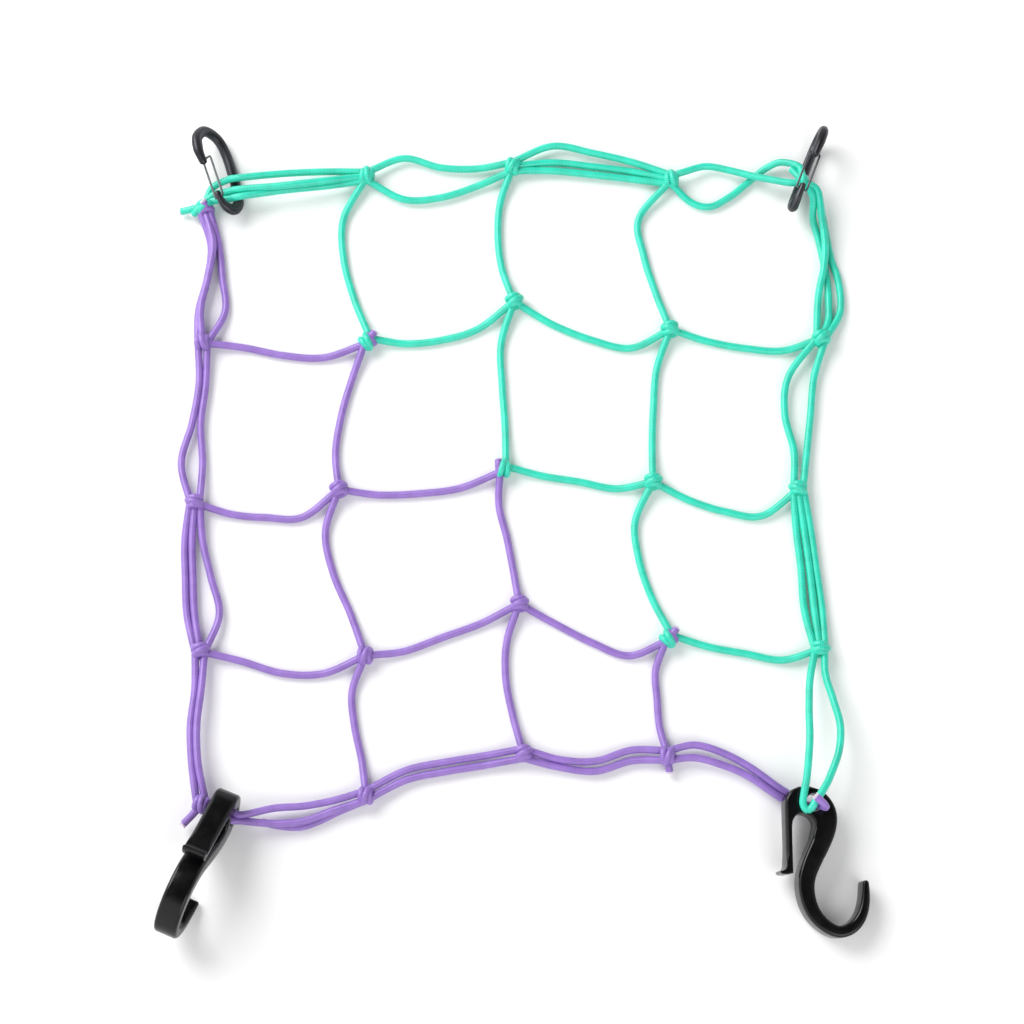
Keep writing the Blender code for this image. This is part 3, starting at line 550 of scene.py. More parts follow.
@dataclass(frozen=True)
class AnodisedAluminium:
    """Black anodised aluminium bar, drawn and then bent.

    Drawing leaves fine lines along the bar that the dyed oxide keeps, so the
    highlights are satin and streaked lengthwise.
    """
    name: str = "black_anodised_aluminium"
    base: str = "#202023"
    worn: str = "#56565C"
    line_spacing: float = 1.1       # mm between draw lines, drawn coarser than the real 0.3
    girth: float = 15.0             # mm round the bar's section
    gloss: tuple[float, float] = (0.34, 0.5)    # roughness in and on the lines

    def material(self) -> bpy.types.Material:
        """Draw lines along the bar that tint and dull it.

        Returns:
            The bar's material.
        """
        made, tree, shader = new_material(self.name)
        place = add_node(tree, "UVMap", uv_map="along")
        parts = add_node(tree, "SeparateXYZ", {0: place})
        turn = add_node(tree, "Math", {0: parts.outputs["Y"], 1: 2 * math.pi},
                        operation="MULTIPLY")
        sides = [add_node(tree, "Math", {0: turn}, operation=way)
                 for way in ("COSINE", "SINE")]
        ring = add_node(tree, "CombineXYZ", {0: parts.outputs["X"], 1: sides[0], 2: sides[1]})
        across = self.girth / self.line_spacing / (2 * math.pi)
        stretched = add_node(tree, "Mapping", {"Vector": ring, "Scale": (0.04, across, across)})
        lines = add_node(tree, "TexNoise", {"Vector": stretched, "Scale": 1.0, "Detail": 3.0})
        streaks = add_node(tree, "MapRange", {"Value": lines, "From Min": 0.35,
                                              "From Max": 0.72})
        colour = add_node(tree, "Mix", {"Factor": streaks, 6: linear(self.base),
                                        7: linear(self.worn)}, data_type="RGBA")
        rough = add_node(tree, "MapRange", {"Value": lines, "To Min": self.gloss[0],
                                            "To Max": self.gloss[1]})
        bump = add_node(tree, "Bump", {"Height": lines, "Strength": 0.3, "Distance": 0.0001})
        feed(shader, {"Base Color": colour.outputs[2], "Roughness": rough, "Normal": bump,
                      "Metallic": 0.85})
        return made


@dataclass(frozen=True)
class DrawnSteelWire:
    """Drawn stainless wire: a soft shine along a thin round, with faint die lines."""
    name: str = "drawn_steel_wire"
    base: str = "#77797D"
    dull: str = "#5C5E62"
    gloss: tuple[float, float] = (0.38, 0.5)    # roughness in and on the die lines

    def material(self) -> bpy.types.Material:
        """Draw faint lines along the wire.

        Returns:
            The wire's material.
        """
        made, tree, shader = new_material(self.name)
        place = add_node(tree, "UVMap", uv_map="along")
        stretched = add_node(tree, "Mapping", {"Vector": place, "Scale": (0.12, 0.0, 1.0)})
        lines = add_node(tree, "TexNoise", {"Vector": stretched, "Scale": 1.0, "Detail": 2.0})
        colour = add_node(tree, "Mix", {"Factor": lines, 6: linear(self.dull),
                                        7: linear(self.base)}, data_type="RGBA")
        rough = add_node(tree, "MapRange", {"Value": lines, "To Min": self.gloss[0],
                                            "To Max": self.gloss[1]})
        feed(shader, {"Base Color": colour.outputs[2], "Roughness": rough, "Metallic": 1.0})
        return made


@dataclass(frozen=True)
class MouldedNylon:
    """Black glass-filled nylon, injection moulded in a polished tool.

    The skin is nearly black with a soft gloss. Flow leaves a very shallow
    orange-peel that breaks up the long highlights.
    """
    name: str = "moulded_black_nylon"
    base: str = "#060607"
    scuffed: str = "#0E0E10"
    peel: float = 1.6               # mm across one swell of the skin
    scuff: float = 6.25             # mm across one patch of scuffs
    gloss: tuple[float, float] = (0.16, 0.28)   # roughness of clean and of scuffed skin

    def material(self) -> bpy.types.Material:
        """Swell and scuff the black skin.

        Returns:
            The hook's material.
        """
        made, tree, shader = new_material(self.name)
        place = add_node(tree, "TexCoord").outputs["Object"]
        swell = add_node(tree, "TexNoise", {"Vector": place, "Scale": 1.0 / (self.peel * MM),
                                            "Detail": 2.0})
        scuffs = add_node(tree, "TexNoise", {"Vector": place, "Detail": 5.0,
                                             "Scale": 1.0 / (self.scuff * MM)})
        colour = add_node(tree, "Mix", {"Factor": scuffs, 6: linear(self.base),
                                        7: linear(self.scuffed)}, data_type="RGBA")
        rough = add_node(tree, "MapRange", {"Value": scuffs, "From Min": 0.3, "From Max": 0.75,
                                            "To Min": self.gloss[0], "To Max": self.gloss[1]})
        bump = add_node(tree, "Bump", {"Height": swell, "Strength": 0.25, "Distance": 0.00005})
        feed(shader, {"Base Color": colour.outputs[2], "Roughness": rough, "Normal": bump,
                      "IOR": 1.53, "Specular IOR Level": 0.3})
        return made


@dataclass(frozen=True)
class PaperSweep:
    """Matt white background paper: even, with a barely visible tooth."""
    name: str = "white_paper"
    base: str = "#F4F4F4"

    def material(self) -> bpy.types.Material:
        """Give the paper its tooth.

        Returns:
            The floor's material.
        """
        made, tree, shader = new_material(self.name)
        tooth = add_node(tree, "TexNoise", {"Scale": 700.0, "Detail": 2.0})
        bump = add_node(tree, "Bump", {"Height": tooth, "Strength": 0.05, "Distance": 0.0001})
        feed(shader, {"Base Color": linear(self.base), "Roughness": 0.9,
                      "Specular IOR Level": 0.2, "Normal": bump})
        return made


# ---- the net
class LooseEnd(NamedTuple):
    """A cut cord end: the knot it leaves, its bends from there, mm, and its colour."""
    knot: str
    bends: tuple[Place, ...]
    colour: Colour


LOOSE_ENDS = [
    LooseEnd("K00", ((-5.5, -2.6, 0), (-12.6, -3.8, -1.4)), Colour.MINT),
    LooseEnd("K04", ((-2.4, 4, -2.3), (-4.8, 8, -4.6)), Colour.MINT),
    LooseEnd("K40", ((-4, -4.6, -0.8), (-8.5, -9, -2.5)), Colour.PURPLE),
    LooseEnd("K43", ((0.4, -4.5, -0.6), (0.8, -7.6, -1.5)), Colour.PURPLE),
    LooseEnd("K00", ((0.6, 2, 3.2), (-0.4, 3.6, 4.4)), Colour.PURPLE),
    LooseEnd("K00", ((-3.2, -3.4, 1.4), (-6.2, -5.4, -1)), Colour.MINT),
    LooseEnd("K11", ((4, 4.2, 2.4), (5.2, 5.7, 2.2)), Colour.PURPLE),
    LooseEnd("K22", ((-0.6, 2.6, 2.6), (-0.8, 5.4, 1.8)), Colour.PURPLE),
    LooseEnd("K33", ((4, 4.4, 2.4), (5.2, 5.9, 2.2)), Colour.PURPLE)]


@dataclass
class CordRoutes:
    """The middle lines of every cord of the net, in the layout."""
    step: float = 1.3               # mm between two points of a line

    def knots(self) -> dict[str, Knot]:
        """Add the two knots that the hard pieces hold to the table.

        Returns:
            Every knot by its name.
        """
        return {**KNOTS,
                "K04": Knot(*Layout.at(CARABINER_POSES[Side.RIGHT], KNOT_IN_RIGHT_CARABINER),
                            RIGHT_CARABINER_KNOT_TURN, RIGHT_CARABINER_KNOT_SIZE),
                "K40": Knot(*Layout.at(HOOK_POSES[Side.LEFT], KNOT_AT_LEFT_HOOK),
                            LEFT_HOOK_KNOT_TURN)}

    def anchor(self, name: str, colour: Colour) -> Vector:
        """Find the point in a knot that the cords of one colour run to.

        Args:
            name: the knot's name.
            colour: the colour of the cords.

        Returns:
            The point, mm.
        """
        middle = Vector(self.knots()[name][:3])
        if name not in SHARED_KNOTS:
            return middle
        inset = SEAM_INSET if colour is Colour.MINT else -SEAM_INSET
        heading = math.radians(SHARED_KNOTS[name])
        return middle + Vector((math.cos(heading), math.sin(heading), 0.0)) * inset

    def settled(self, points: Iterable[Sequence[float]]) -> list[Vector]:
        """Lay a smooth cord through the points.

        Args:
            points: the places that the cord passes through, mm.

        Returns:
            The points of its middle line, mm, all clear of the surface.
        """
        path = smooth_path(points, self.step)
        for place in path:
            place.z = max(place.z, CORD_FLOOR)
        return path

    def run(self, run: Run, colour: Colour, across: Vector) -> list[Vector]:
        """Return one cord's line from knot to knot.

        Args:
            run: the cord's row of the table.
            colour: the cord's colour.
            across: the direction that its bows are measured in.

        Returns:
            The points of its middle line, mm.
        """
        aside = across * (run.lane * LANE)
        start, end = [self.anchor(name, colour) + aside for name in (run.start, run.end)]
        rise = max(0.0, max(start.z, end.z) - KNOT_HEIGHT)
        points = [start]
        for share, bow in ((0.25, run.at_1), (0.5, run.at_2), (0.75, run.at_3)):
            place = start.lerp(end, share) + across * (bow - run.lane * LANE)
            nearness = share if end.z > start.z else 1.0 - share
            place.z = CORD_FLOOR + run.lift + rise * nearness ** 2
            points.append(place)
        return self.settled([*points, end])

    def mint_at_pieces(self) -> list[list[Vector]]:
        """Lead mint cords through both carabiners and over the right hook.

        Returns:
            The middle lines, mm.
        """
        k00, k01, k03, k04, k14, k34 = [self.anchor(name, Colour.MINT) for name in
                                        ("K00", "K01", "K03", "K04", "K14", "K34")]
        routes = []
        for lane, (eye, offsets, lift) in zip((-1, 0, 1), LEFT_CARABINER_CORDS.values()):
            crossing = Layout.at(CARABINER_POSES[Side.LEFT], eye)
            before = k00.lerp(crossing, 0.5) + BEFORE_EYE + NORTH * lane
            after, last = crossing + AFTER_EYE, k01 + NORTH * (lane * LANE)
            routes.append([k00 + NORTH * lane, before, crossing, after,
                           *bows(after, last, NORTH, offsets, lift), last])
        for lane, places in zip((1, -1), CROSSING_CORDS.values()):
            routes.append([k03 + NORTH * (lane * LANE), *places, k04])
        for lane, places in zip((-1, 0, 1), RIGHT_CARABINER_CORDS.values()):
            routes.append([k04 + NORTH * lane, *places, k14 + EAST * (lane * LANE)])
        hitch = [Layout.at(HOOK_POSES[Side.RIGHT], place) for place in MINT_HITCH]
        to_hook, from_hook = MINT_HITCH_BOWS
        routes.append([k34 - EAST * LANE, *bows(k34, hitch[0], EAST, to_hook), *hitch,
                       *bows(hitch[-1], k34, EAST, from_hook), k34 + EAST * LANE])
        return [self.settled(route) for route in routes]

    def purple_at_pieces(self) -> list[list[Vector]]:
        """Lead purple cords through both hooks.

        Returns:
            The middle lines, mm: the one that ends cut on the right hook is last but one.
        """
        k40, k41, k43 = [self.anchor(name, Colour.PURPLE) for name in ("K40", "K41", "K43")]
        pose, routes = HOOK_POSES[Side.LEFT], []
        for lane, (eye, leaning, offsets) in zip((1, -1), LEFT_HOOK_CORDS.values()):
            into, inside, out = [Layout.at(pose, (eye[0], eye[1] + lean, depth))
                                 for lean, depth in zip((0, 0, leaning), HOOK_EYE_DEPTHS)]
            last = k41 + NORTH * (lane * LANE)
            routes.append([k40, into, inside, out, *bows(out, last, NORTH, offsets, -1.0), last])
        routes.append([*UNDER_CORD, k41 - NORTH * LANE])
        for lane, (offsets, places) in zip((1, -1), PURPLE_HITCH.values()):
            hitch = [Layout.at(HOOK_POSES[Side.RIGHT], place) for place in places]
            routes.append([k43 + NORTH * (lane * LANE), *bows(k43, hitch[0], NORTH, offsets),
                           *hitch])
        return [self.settled(route) for route in routes]

    def loose_ends(self, colour: Colour) -> list[list[Vector]]:
        """Lead one colour's short cut ends out of the knots.

        Args:
            colour: the colour.

        Returns:
            Their middle lines, mm.
        """
        found = []
        for end in LOOSE_ENDS:
            if end.colour is colour:
                start = self.anchor(end.knot, colour)
                found.append(self.settled([start, *[start + Vector(b) for b in end.bends]]))
        return found

    def lines(self, colour: Colour) -> list[list[Vector]]:
        """Lead every cord of one colour, without the cut ends.

        Args:
            colour: the colour.

        Returns:
            Their middle lines, mm.
        """
        down, across, at_pieces = ((MINT_DOWN, MINT_ACROSS, self.mint_at_pieces)
                                   if colour is Colour.MINT else
                                   (PURPLE_DOWN, PURPLE_ACROSS, self.purple_at_pieces))
        return ([self.run(run, colour, EAST) for run in down]
                + [self.run(run, colour, NORTH) for run in across] + at_pieces())


class Tie(NamedTuple):
    """How one knot is tied, as it shows from above.

    wraps is the heading, in degrees, that the turns of cord run along on top.
    hand is +1 or -1 for the way the crossing turn leans. roll, in degrees,
    brings the crossing nearer to one flank. spread is the share of the usual
    room between the turns.
    """
    wraps: float
    hand: int
    roll: float
    spread: float = 1.0


TIES = {
    "K00": Tie(20, 1, 10), "K01": Tie(80, 1, 0, 0.9), "K02": Tie(70, -1, 15),
    "K03": Tie(85, 1, -10), "K04": Tie(69, 1, 0, 0.8), "K10": Tie(90, 1, 0),
    "K11": Tie(130, -1, 5), "K12": Tie(15, 1, -12), "K13": Tie(5, -1, 10),
    "K14": Tie(25, 1, 5), "K20": Tie(0, -1, 0), "K21": Tie(20, 1, 8),
    "K22": Tie(-90, -1, -8), "K23": Tie(5, 1, 12), "K24": Tie(-5, -1, -6),
    "K30": Tie(10, 1, -10), "K31": Tie(85, -1, 6), "K32": Tie(5, 1, 0),
    "K33": Tie(135, -1, 12), "K34": Tie(-8, 1, -5), "K40": Tie(67, 1, 10),
    "K41": Tie(85, -1, 5), "K42": Tie(10, 1, 0), "K43": Tie(85, -1, -10)}


# the degrees of a two-colour knot's turns that each colour has
SHARED_TURNS = {Colour.MINT: (0.0, 660.0), Colour.PURPLE: (690.0, 1080.0)}


@dataclass
class TiedKnot:
    """A knot drawn tight: two turns of cord with a third crossing over them."""
    knot: Knot
    tie: Tie
    cord: float = 1.68              # the cord's radius where it is squeezed
    width: float = 2.75             # from the knot's axis to a turn, sideways
    height: float = 2.5             # the same, upwards
    reach: float = 1.95             # from the knot's middle to the outer turns
    bulge: float = 1.2              # how far the crossing turn stands over the others
    sway: float = 0.35              # how far each turn swings along the axis
    degrees: float = 9.0            # angle between two points of a turn
    whole: float = 1080.0           # the angle of all the turns
    crossing: tuple[float, float] = (360.0, 660.0)      # and where one crosses the others
    dive: float = 60.0              # the angle over which each end goes into the knot

    def place(self, angle: float, along: float, out: float) -> Vector:
        """Return a place round the knot's axis.

        Args:
            angle: degrees round the axis, 90 at the top.
            along: mm along the axis.
            out: share of the turns' distance from the axis.

        Returns:
            The place in the layout, mm.
        """
        heading = math.radians(self.tie.wraps - 90.0)
        axis = Vector((math.cos(heading), math.sin(heading), 0.0))
        flank = Vector((-axis.y, axis.x, 0.0)) * self.tie.hand
        turn = math.radians(angle)
        return (Vector(self.knot[:3])
                + (axis * along + flank * (self.width * out * math.cos(turn))
                   + Vector((0, 0, self.height * out * math.sin(turn)))) * self.knot.size)

    def turns(self, first: float, last: float) -> list[Vector]:
        """Return the part of the tied cord between two angles.

        Args:
            first: where it starts, in degrees from the first turn's start.
            last: where it ends.

        Returns:
            The points of the cord's middle line, mm.
        """
        points = []
        reach = self.reach * self.tie.spread
        begins, ends = self.crossing
        count = round((last - first) / self.degrees)
        for angle in (first + (last - first) * i / count for i in range(count + 1)):
            cross = min(1.0, max(0.0, (angle - begins) / (ends - begins)))
            share = cross * cross * (3 - 2 * cross)
            along = reach * (2 * share - 1) + self.sway * math.cos(math.radians(angle))
            out = 1.0 + math.sin(math.pi * cross) ** 2 * self.bulge / self.width
            dive = max(0.0, self.dive - angle, angle - self.whole + self.dive) / self.dive
            points.append(self.place(angle - 90.0 + self.tie.roll, along * (1 - 0.5 * dive),
                                     out * (1 - 0.55 * dive)))
        return points


@dataclass
class FrayedEnd:
    """A cut end of the cord: short latex threads that stand out of the sleeve."""
    length: float = 1.3             # mm that the threads stand out
    thread: float = 0.28            # radius of one thread
    spread: float = 0.3             # how far the threads splay, as a share of the length
    root: float = 0.8               # mm that they reach into the sleeve
    rings: tuple[tuple[int, float], ...] = ((1, 0.0), (6, 0.62), (11, 1.24))

    def add(self, tubes: Tubes, end: Vector, along: Vector, seed: int) -> None:
        """Add the threads to a mesh.

        Args:
            tubes: the mesh that takes them.
            end: the middle of the cut, mm.
            along: the cord's direction there.
            seed: the seed of their lengths.
        """
        pick = random.Random(seed)
        one = along.orthogonal().normalized()
        two = along.cross(one)
        for count, radius in self.rings:
            for k in range(count):
                angle = 2 * math.pi * k / count + radius
                out = one * math.cos(angle) + two * math.sin(angle)
                root = end + out * radius - along * self.root
                length = self.length * pick.uniform(0.35, 1.0)
                tip = root + along * (length + self.root) + out * (length * self.spread)
                middle = root.lerp(tip, 0.55) + out * 0.05
                tubes.sweep([root, middle, tip], [self.thread] * 3, rounding=1.0)


@dataclass
class CordNet:
    """One colour of the net: its cords, its knots and its cut ends."""
    colour: Colour
    finish: bpy.types.Material
    core: bpy.types.Material
    routes: CordRoutes = field(default_factory=CordRoutes)

    def tied_in(self) -> list[str]:
        """Return the names of the knots that this colour is tied in."""
        purple = self.colour is Colour.PURPLE
        return [name for name in sorted(self.routes.knots())
                if name in SHARED_KNOTS or (name in PURPLE_KNOTS) == purple]

    def knot_turns(self, name: str) -> list[Vector]:
        """Wind this colour's turns of a knot.

        Args:
            name: the knot's name.

        Returns:
            The middle line, mm.
        """
        tied = TiedKnot(self.routes.knots()[name], TIES[name])
        return tied.turns(*(SHARED_TURNS[self.colour] if name in SHARED_KNOTS
                            else (0.0, tied.whole)))

    def build(self) -> None:
        """Add this colour's cords, knots and cut ends as pieces."""
        cords, knots, threads = Tubes(), Tubes(), Tubes(sides=6)
        ends = self.routes.loose_ends(self.colour)
        for line in self.routes.lines(self.colour) + ends:
            cords.sweep(line, [CORD_RADIUS] * len(line))
        if self.colour is Colour.PURPLE:        # and the cut end on the right hook's face
            ends.append(self.routes.purple_at_pieces()[-2])
        for seed, line in enumerate(ends):
            FrayedEnd().add(threads, line[-1], (line[-1] - line[-2]).normalized(), seed)
        for name in self.tied_in():
            line = self.knot_turns(name)
            size = self.routes.knots()[name].size
            knots.sweep(line, [TiedKnot.cord * size] * len(line), rounding=0.6)
        colour = self.colour.value
        for name, tubes, finish, *replaced in (
                (f"{colour}_cords", cords, self.finish, f"net_{colour}"),
                (f"{colour}_knots", knots, self.finish),
                (f"{colour}_core_threads", threads, self.core)):
            add_piece(name, tubes.mesh(name), finish, "root", f"{colour}_cord", *replaced)


# ---- the carabiners
@dataclass
class Carabiner:
    """A small wire-gate carabiner: a bent oval bar and a sprung loop of wire."""
    side: Side
    bar_finish: bpy.types.Material
    wire_finish: bpy.types.Material
    flatness: float = 0.87          # the bar's thickness as a share of its width
    pivot: tuple[float, float] = (-7.0, -15.3)
    nose: tuple[float, float] = (-6.2, 6.7)
    wire: float = 0.55              # the wire's radius
    wire_spread: float = 2.75       # from the middle plane to each leg of the gate
    wire_end: float = 1.0           # how near the wire ends come to the middle plane
    wire_bend: float = 0.7          # size of the wire's bends
    bar_sides: int = 32
    bar_step: float = 0.8           # mm between two rings
    wire_sides: int = 12
    wire_step: float = 0.35
    line: tuple[Place, ...] = (  # the bar: x, y and half width
        (-9.6, 4.6, 2.2), (-10.0, 7.6, 2.4), (-10.0, 11.9, 2.8),
        (-7.3, 18.7, 2.85), (0.2, 22.4, 2.85), (7.6, 18.3, 2.85),
        (10.1, 9.7, 2.85), (9.6, -1.1, 2.85), (8.2, -11.3, 2.85),
        (5.8, -18.8, 3.0), (0.0, -22.4, 3.0), (-5.2, -20.1, 2.4),
        (-7.1, -15.3, 1.84), (-7.3, -13.4, 1.84))

    @property
    def pose(self) -> Pose:
        """Return where the carabiner lies."""
        return CARABINER_POSES[self.side]

    def build(self) -> None:
        """Add the bar and its gate as pieces."""
        side, bar, gate = self.side.value, Tubes(), Tubes(sides=self.wire_sides)
        packed = smooth_path(self.line, self.bar_step)
        along = (packed[1] - packed[0]).normalized()
        across = Layout.matrix(self.pose).to_3x3() @ Vector((-along.y, along.x, 0.0))
        bar.sweep([Layout.at(self.pose, (p.x, p.y, 0.0)) for p in packed],
                  [p.z for p in packed],
                  [(u, v * self.flatness) for u, v in circle(self.bar_sides)],
                  across, rounding=0.75)
        name = f"carabiner_{side}_bar"
        add_piece(name, bar.mesh(name), self.bar_finish, "root", "black_anodised",
                  f"carabiner_{side}")
        line = smooth_path(self.gate_points(), self.wire_step)
        gate.sweep([Layout.at(self.pose, p) for p in line], [self.wire] * len(line))
        name = f"gate_{side}_wire"
        add_piece(name, gate.mesh(name), self.wire_finish, f"gate_{side}", "bright_wire",
                  f"gate_{side}")

    def gate_points(self) -> list[Vector]:
        """Bend the gate from its pivot, up one side, over the nose and down.

        Returns:
            The points of its middle line, in the carabiner's own axes, mm.
        """
        pivot = Vector((*self.pivot, 0.0))
        nose = Vector((*self.nose, 0.0)) - pivot
        spread, bend, reach = self.wire_spread, self.wire_bend, nose.length
        side = [(0.0, self.wire_end), (0.0, spread - bend), (bend * 0.3, spread - bend * 0.3),
                (bend, spread), (reach * 0.35, spread), (reach * 0.65, spread),
                (reach - bend * 1.4, spread), (reach - bend * 0.4, spread - bend * 0.5),
                (reach, spread - bend * 1.5)]
        return [pivot + nose.normalized() * along + UP * up
                for along, up in side + [(along, -up) for along, up in side[::-1]]]


# ---- the hooks
@dataclass
class SnapHook:
    """A moulded J hook with a cord eye in its head and a thin snap arm in one with it."""
    side: Side
    finish: bpy.types.Material
    depth: float = 11.6             # face to face
    edge: float = 1.6               # radius of the body's moulded edges
    arm_edge: float = 2.1           # radius of the arm's edges on its outer side
    slot_edge: float = 1.1          # radius of the edges inside the slot's arch
    thin_edge: float = 0.5          # radius of the arm's edges towards the slot
    lip_edge: float = 0.45          # radius of the edges at the arm's lip
    edge_steps: int = 6
    step: float = 0.8               # mm between two points of the outline
    evenings: int = 14              # times the middle line's bends are evened out
    eye: tuple[float, float] = (1.8, 27.4)
    eye_radius: float = 4.4
    eye_edge: float = 0.8
    eye_sides: int = 48
    fork: tuple[float, float] = (8.0, 9.0)          # the body's inner side starts below it
    foot: tuple[float, float] = (-2.6, 5.0)         # the arm's edge grows between these
    shoulder: tuple[float, float] = (20.0, 31.0)    # and turns into the body's here
    arch: tuple[float, float] = (-9.0, 2.0)         # across the slot's arch
    thinning: int = 12              # points before the tip over which the edges thin
    body: tuple[Place, ...] = (  # its middle line: x, y and half width
        (-2.2, 28.6, 6.6), (3.2, 27.0, 6.3), (6.7, 22.2, 5.8),
        (6.9, 16.0, 5.2), (4.7, 9.0, 4.7), (0.9, 1.5, 4.5),
        (-2.7, -7.0, 4.1), (-3.3, -14.8, 3.8), (-1.0, -23.4, 3.5),
        (4.2, -30.0, 3.1), (11.5, -33.8, 2.8), (18.4, -31.8, 2.8),
        (23.2, -26.0, 2.5), (25.2, -18.4, 2.1), (25.4, -10.8, 1.5))
    lip: tuple[tuple[float, float], ...] = (
        (-9.8, -6.3), (-12.6, -6.9), (-15.0, -6.8), (-15.9, -6.2), (-15.8, -5.2),
        (-14.6, -5.1), (-13.4, -4.2))
    arm_up: tuple[tuple[float, float], ...] = (
        (-12.8, -2.6), (-12.75, 8.0), (-12.8, 20.0), (-12.7, 27.4), (-11.6, 30.8),
        (-9.2, 33.3), (-6.0, 34.8))
    arm_down: tuple[tuple[float, float], ...] = (
        (1.6, 16.6), (0.6, 19.6), (-2.0, 21.6), (-5.4, 21.9), (-8.2, 20.4), (-9.6, 17.2),
        (-9.85, 12.0), (-9.85, 4.0), (-9.8, -3.6))

    def middle_line(self) -> list[Vector]:
        """Even out the body's middle line.

        Returns:
            The middle line's points, mm, with the half width as z.
        """
        line = smooth_path(self.body, self.step)
        for _ in range(self.evenings):
            line = [line[0], *[(a + b * 2 + c) / 4 for a, b, c in
                               zip(line, line[1:], line[2:])], line[-1]]
        return line

    @staticmethod
    def eased(value: float, span: tuple[float, float], first: float, last: float) -> float:
        """Return a size that goes softly from first to last between two places."""
        share = min(1.0, max(0.0, (value - span[0]) / (span[1] - span[0])))
        return first + (last - first) * share * share * (3 - 2 * share)

    def outline(self) -> tuple[list[Vector], list[float]]:
        """Trace the lip, the arm, the body and the slot's arch.

        Returns:
            The closed outline, clockwise, mm, and each point's edge radius, mm.
        """
        packed = self.middle_line()
        line = [Vector((p.x, p.y, 0.0)) for p in packed]
        outer, inner = [], []
        for before, place, after, p in zip(line[:1] + line, line, line[1:] + line[-1:], packed):
            along = (after - before).normalized()
            aside = Vector((-along.y, along.x, 0.0)) * p.z
            outer.append(place + aside)
            if place.x > self.fork[0] or place.y < self.fork[1]:
                inner.append(place - aside)
        half = packed[-1].z
        tip = [line[-1] + Vector((math.sin(a) * half, math.cos(a) * half, 0.0))
               for a in (-1.1, -0.55, 0.0, 0.55, 1.1)]
        lip = [Vector((*p, 0.0)) for p in self.lip]
        up = smooth_path([(*p, 0.0) for p in self.arm_up], self.step)
        down = smooth_path([inner[0], *[(*p, 0.0) for p in self.arm_down]], self.step)[1:]
        thin = min(self.edge, half * 0.8)
        ends = [self.edge + (thin - self.edge) * max(0.0, 1 - (len(line) - i) / self.thinning)
                for i in range(len(line))]
        rise = [self.eased(p.y, self.foot, self.lip_edge, self.arm_edge)
                + self.eased(p.y, self.shoulder, 0.0, self.edge - self.arm_edge) for p in up]
        fall = [self.eased(p.x, self.arch, self.thin_edge, self.slot_edge) for p in down]
        points = lip + up + outer + tip + inner[::-1] + down
        radii = ([self.lip_edge] * len(lip) + rise + ends + [thin] * len(tip)
                 + ends[:-len(inner) - 1:-1] + fall)
        eye, used = Vector((*self.eye, 0.0)), self.eye_radius + self.eye_edge + 0.3
        return points, [min(radius, max(0.3, (point - eye).length - used))
                        for point, radius in zip(points, radii)]

    def rounded_slab(self, shape: bmesh.types.BMesh, ring: Sequence[Vector],
                     radii: Sequence[float]) -> tuple[list, list]:
        """Add one wall with rounded edges and return the rims of its two flat sides.

        Args:
            shape: the mesh that takes the wall.
            ring: the wall's closed outline, with the solid to the right of its way.
            radii: the edge radius at each point, mm.

        Returns:
            The vertices round the upper and round the lower flat face.
        """
        inward = []
        for before, place, after in zip(ring[-1:] + ring, ring, ring[1:] + ring[:1]):
            back, ahead = (place - before).normalized(), (after - place).normalized()
            along = (back + ahead).normalized()
            inward.append(Vector((along.y, -along.x, 0.0)) / max(0.6, along.dot(ahead)))
        turns = [j / self.edge_steps * math.pi / 2 for j in range(self.edge_steps + 1)]
        rows = []
        for sign, turn in [(1, turn) for turn in turns[::-1]] + [(-1, turn) for turn in turns]:
            out, up = 1 - math.cos(turn), 1 - math.sin(turn)
            rows.append([shape.verts.new(place + inset * (radius * out)
                                         + UP * (sign * (self.depth / 2 - radius * up)))
                         for place, inset, radius in zip(ring, inward, radii)])
        for upper, lower in zip(rows, rows[1:]):
            for i in range(len(ring)):
                shape.faces.new((upper[i - 1], upper[i], lower[i], lower[i - 1]))
        return rows[0], rows[-1]

    @staticmethod
    def flat_face(shape: bmesh.types.BMesh, rims: Sequence[list]) -> None:
        """Fill the flat face between the outer rim and the eye's rim.

        Args:
            shape: the mesh that takes the face.
            rims: the vertices of the outer rim and of the eye's rim.
        """
        corners = [corner for rim in rims for corner in rim]
        edges = []
        for rim in rims:
            first, count = len(edges), len(rim)
            edges += [(first + i, first + (i + 1) % count) for i in range(count)]
        inside_only = 1
        _, _, triangles, origins, *_ = delaunay_2d_cdt(
            [corner.co.xy for corner in corners], edges, [], inside_only, 1e-5)
        for triangle in triangles:
            numbers = [origins[i][0] for i in triangle]
            if min(numbers) < len(rims[0]):         # the others lie within the eye
                shape.faces.new([corners[number] for number in numbers])

    def build(self) -> None:
        """Add the hook as a piece."""
        name = f"hook_{self.side.value}_moulding"
        shape, count = bmesh.new(), self.eye_sides
        eye = [Vector((*self.eye, 0.0)) + Vector((u, v, 0.0)) * self.eye_radius
               for u, v in circle(count)]
        walls = [self.rounded_slab(shape, *self.outline()),
                 self.rounded_slab(shape, eye, [self.eye_edge] * count)]
        for rims in zip(*walls):
            self.flat_face(shape, rims)
        bmesh.ops.recalc_face_normals(shape, faces=shape.faces)
        matrix = Layout.matrix(HOOK_POSES[self.side])
        for vertex in shape.verts:
            vertex.co = Layout.metres(matrix @ vertex.co)
        mesh = bpy.data.meshes.new(name)
        shape.to_mesh(mesh)
        shape.free()
        mesh.shade_smooth()
        mesh.set_sharp_from_angle(angle=math.radians(40))
        add_piece(name, mesh, self.finish, "root", "black_plastic", f"hook_{self.side.value}")


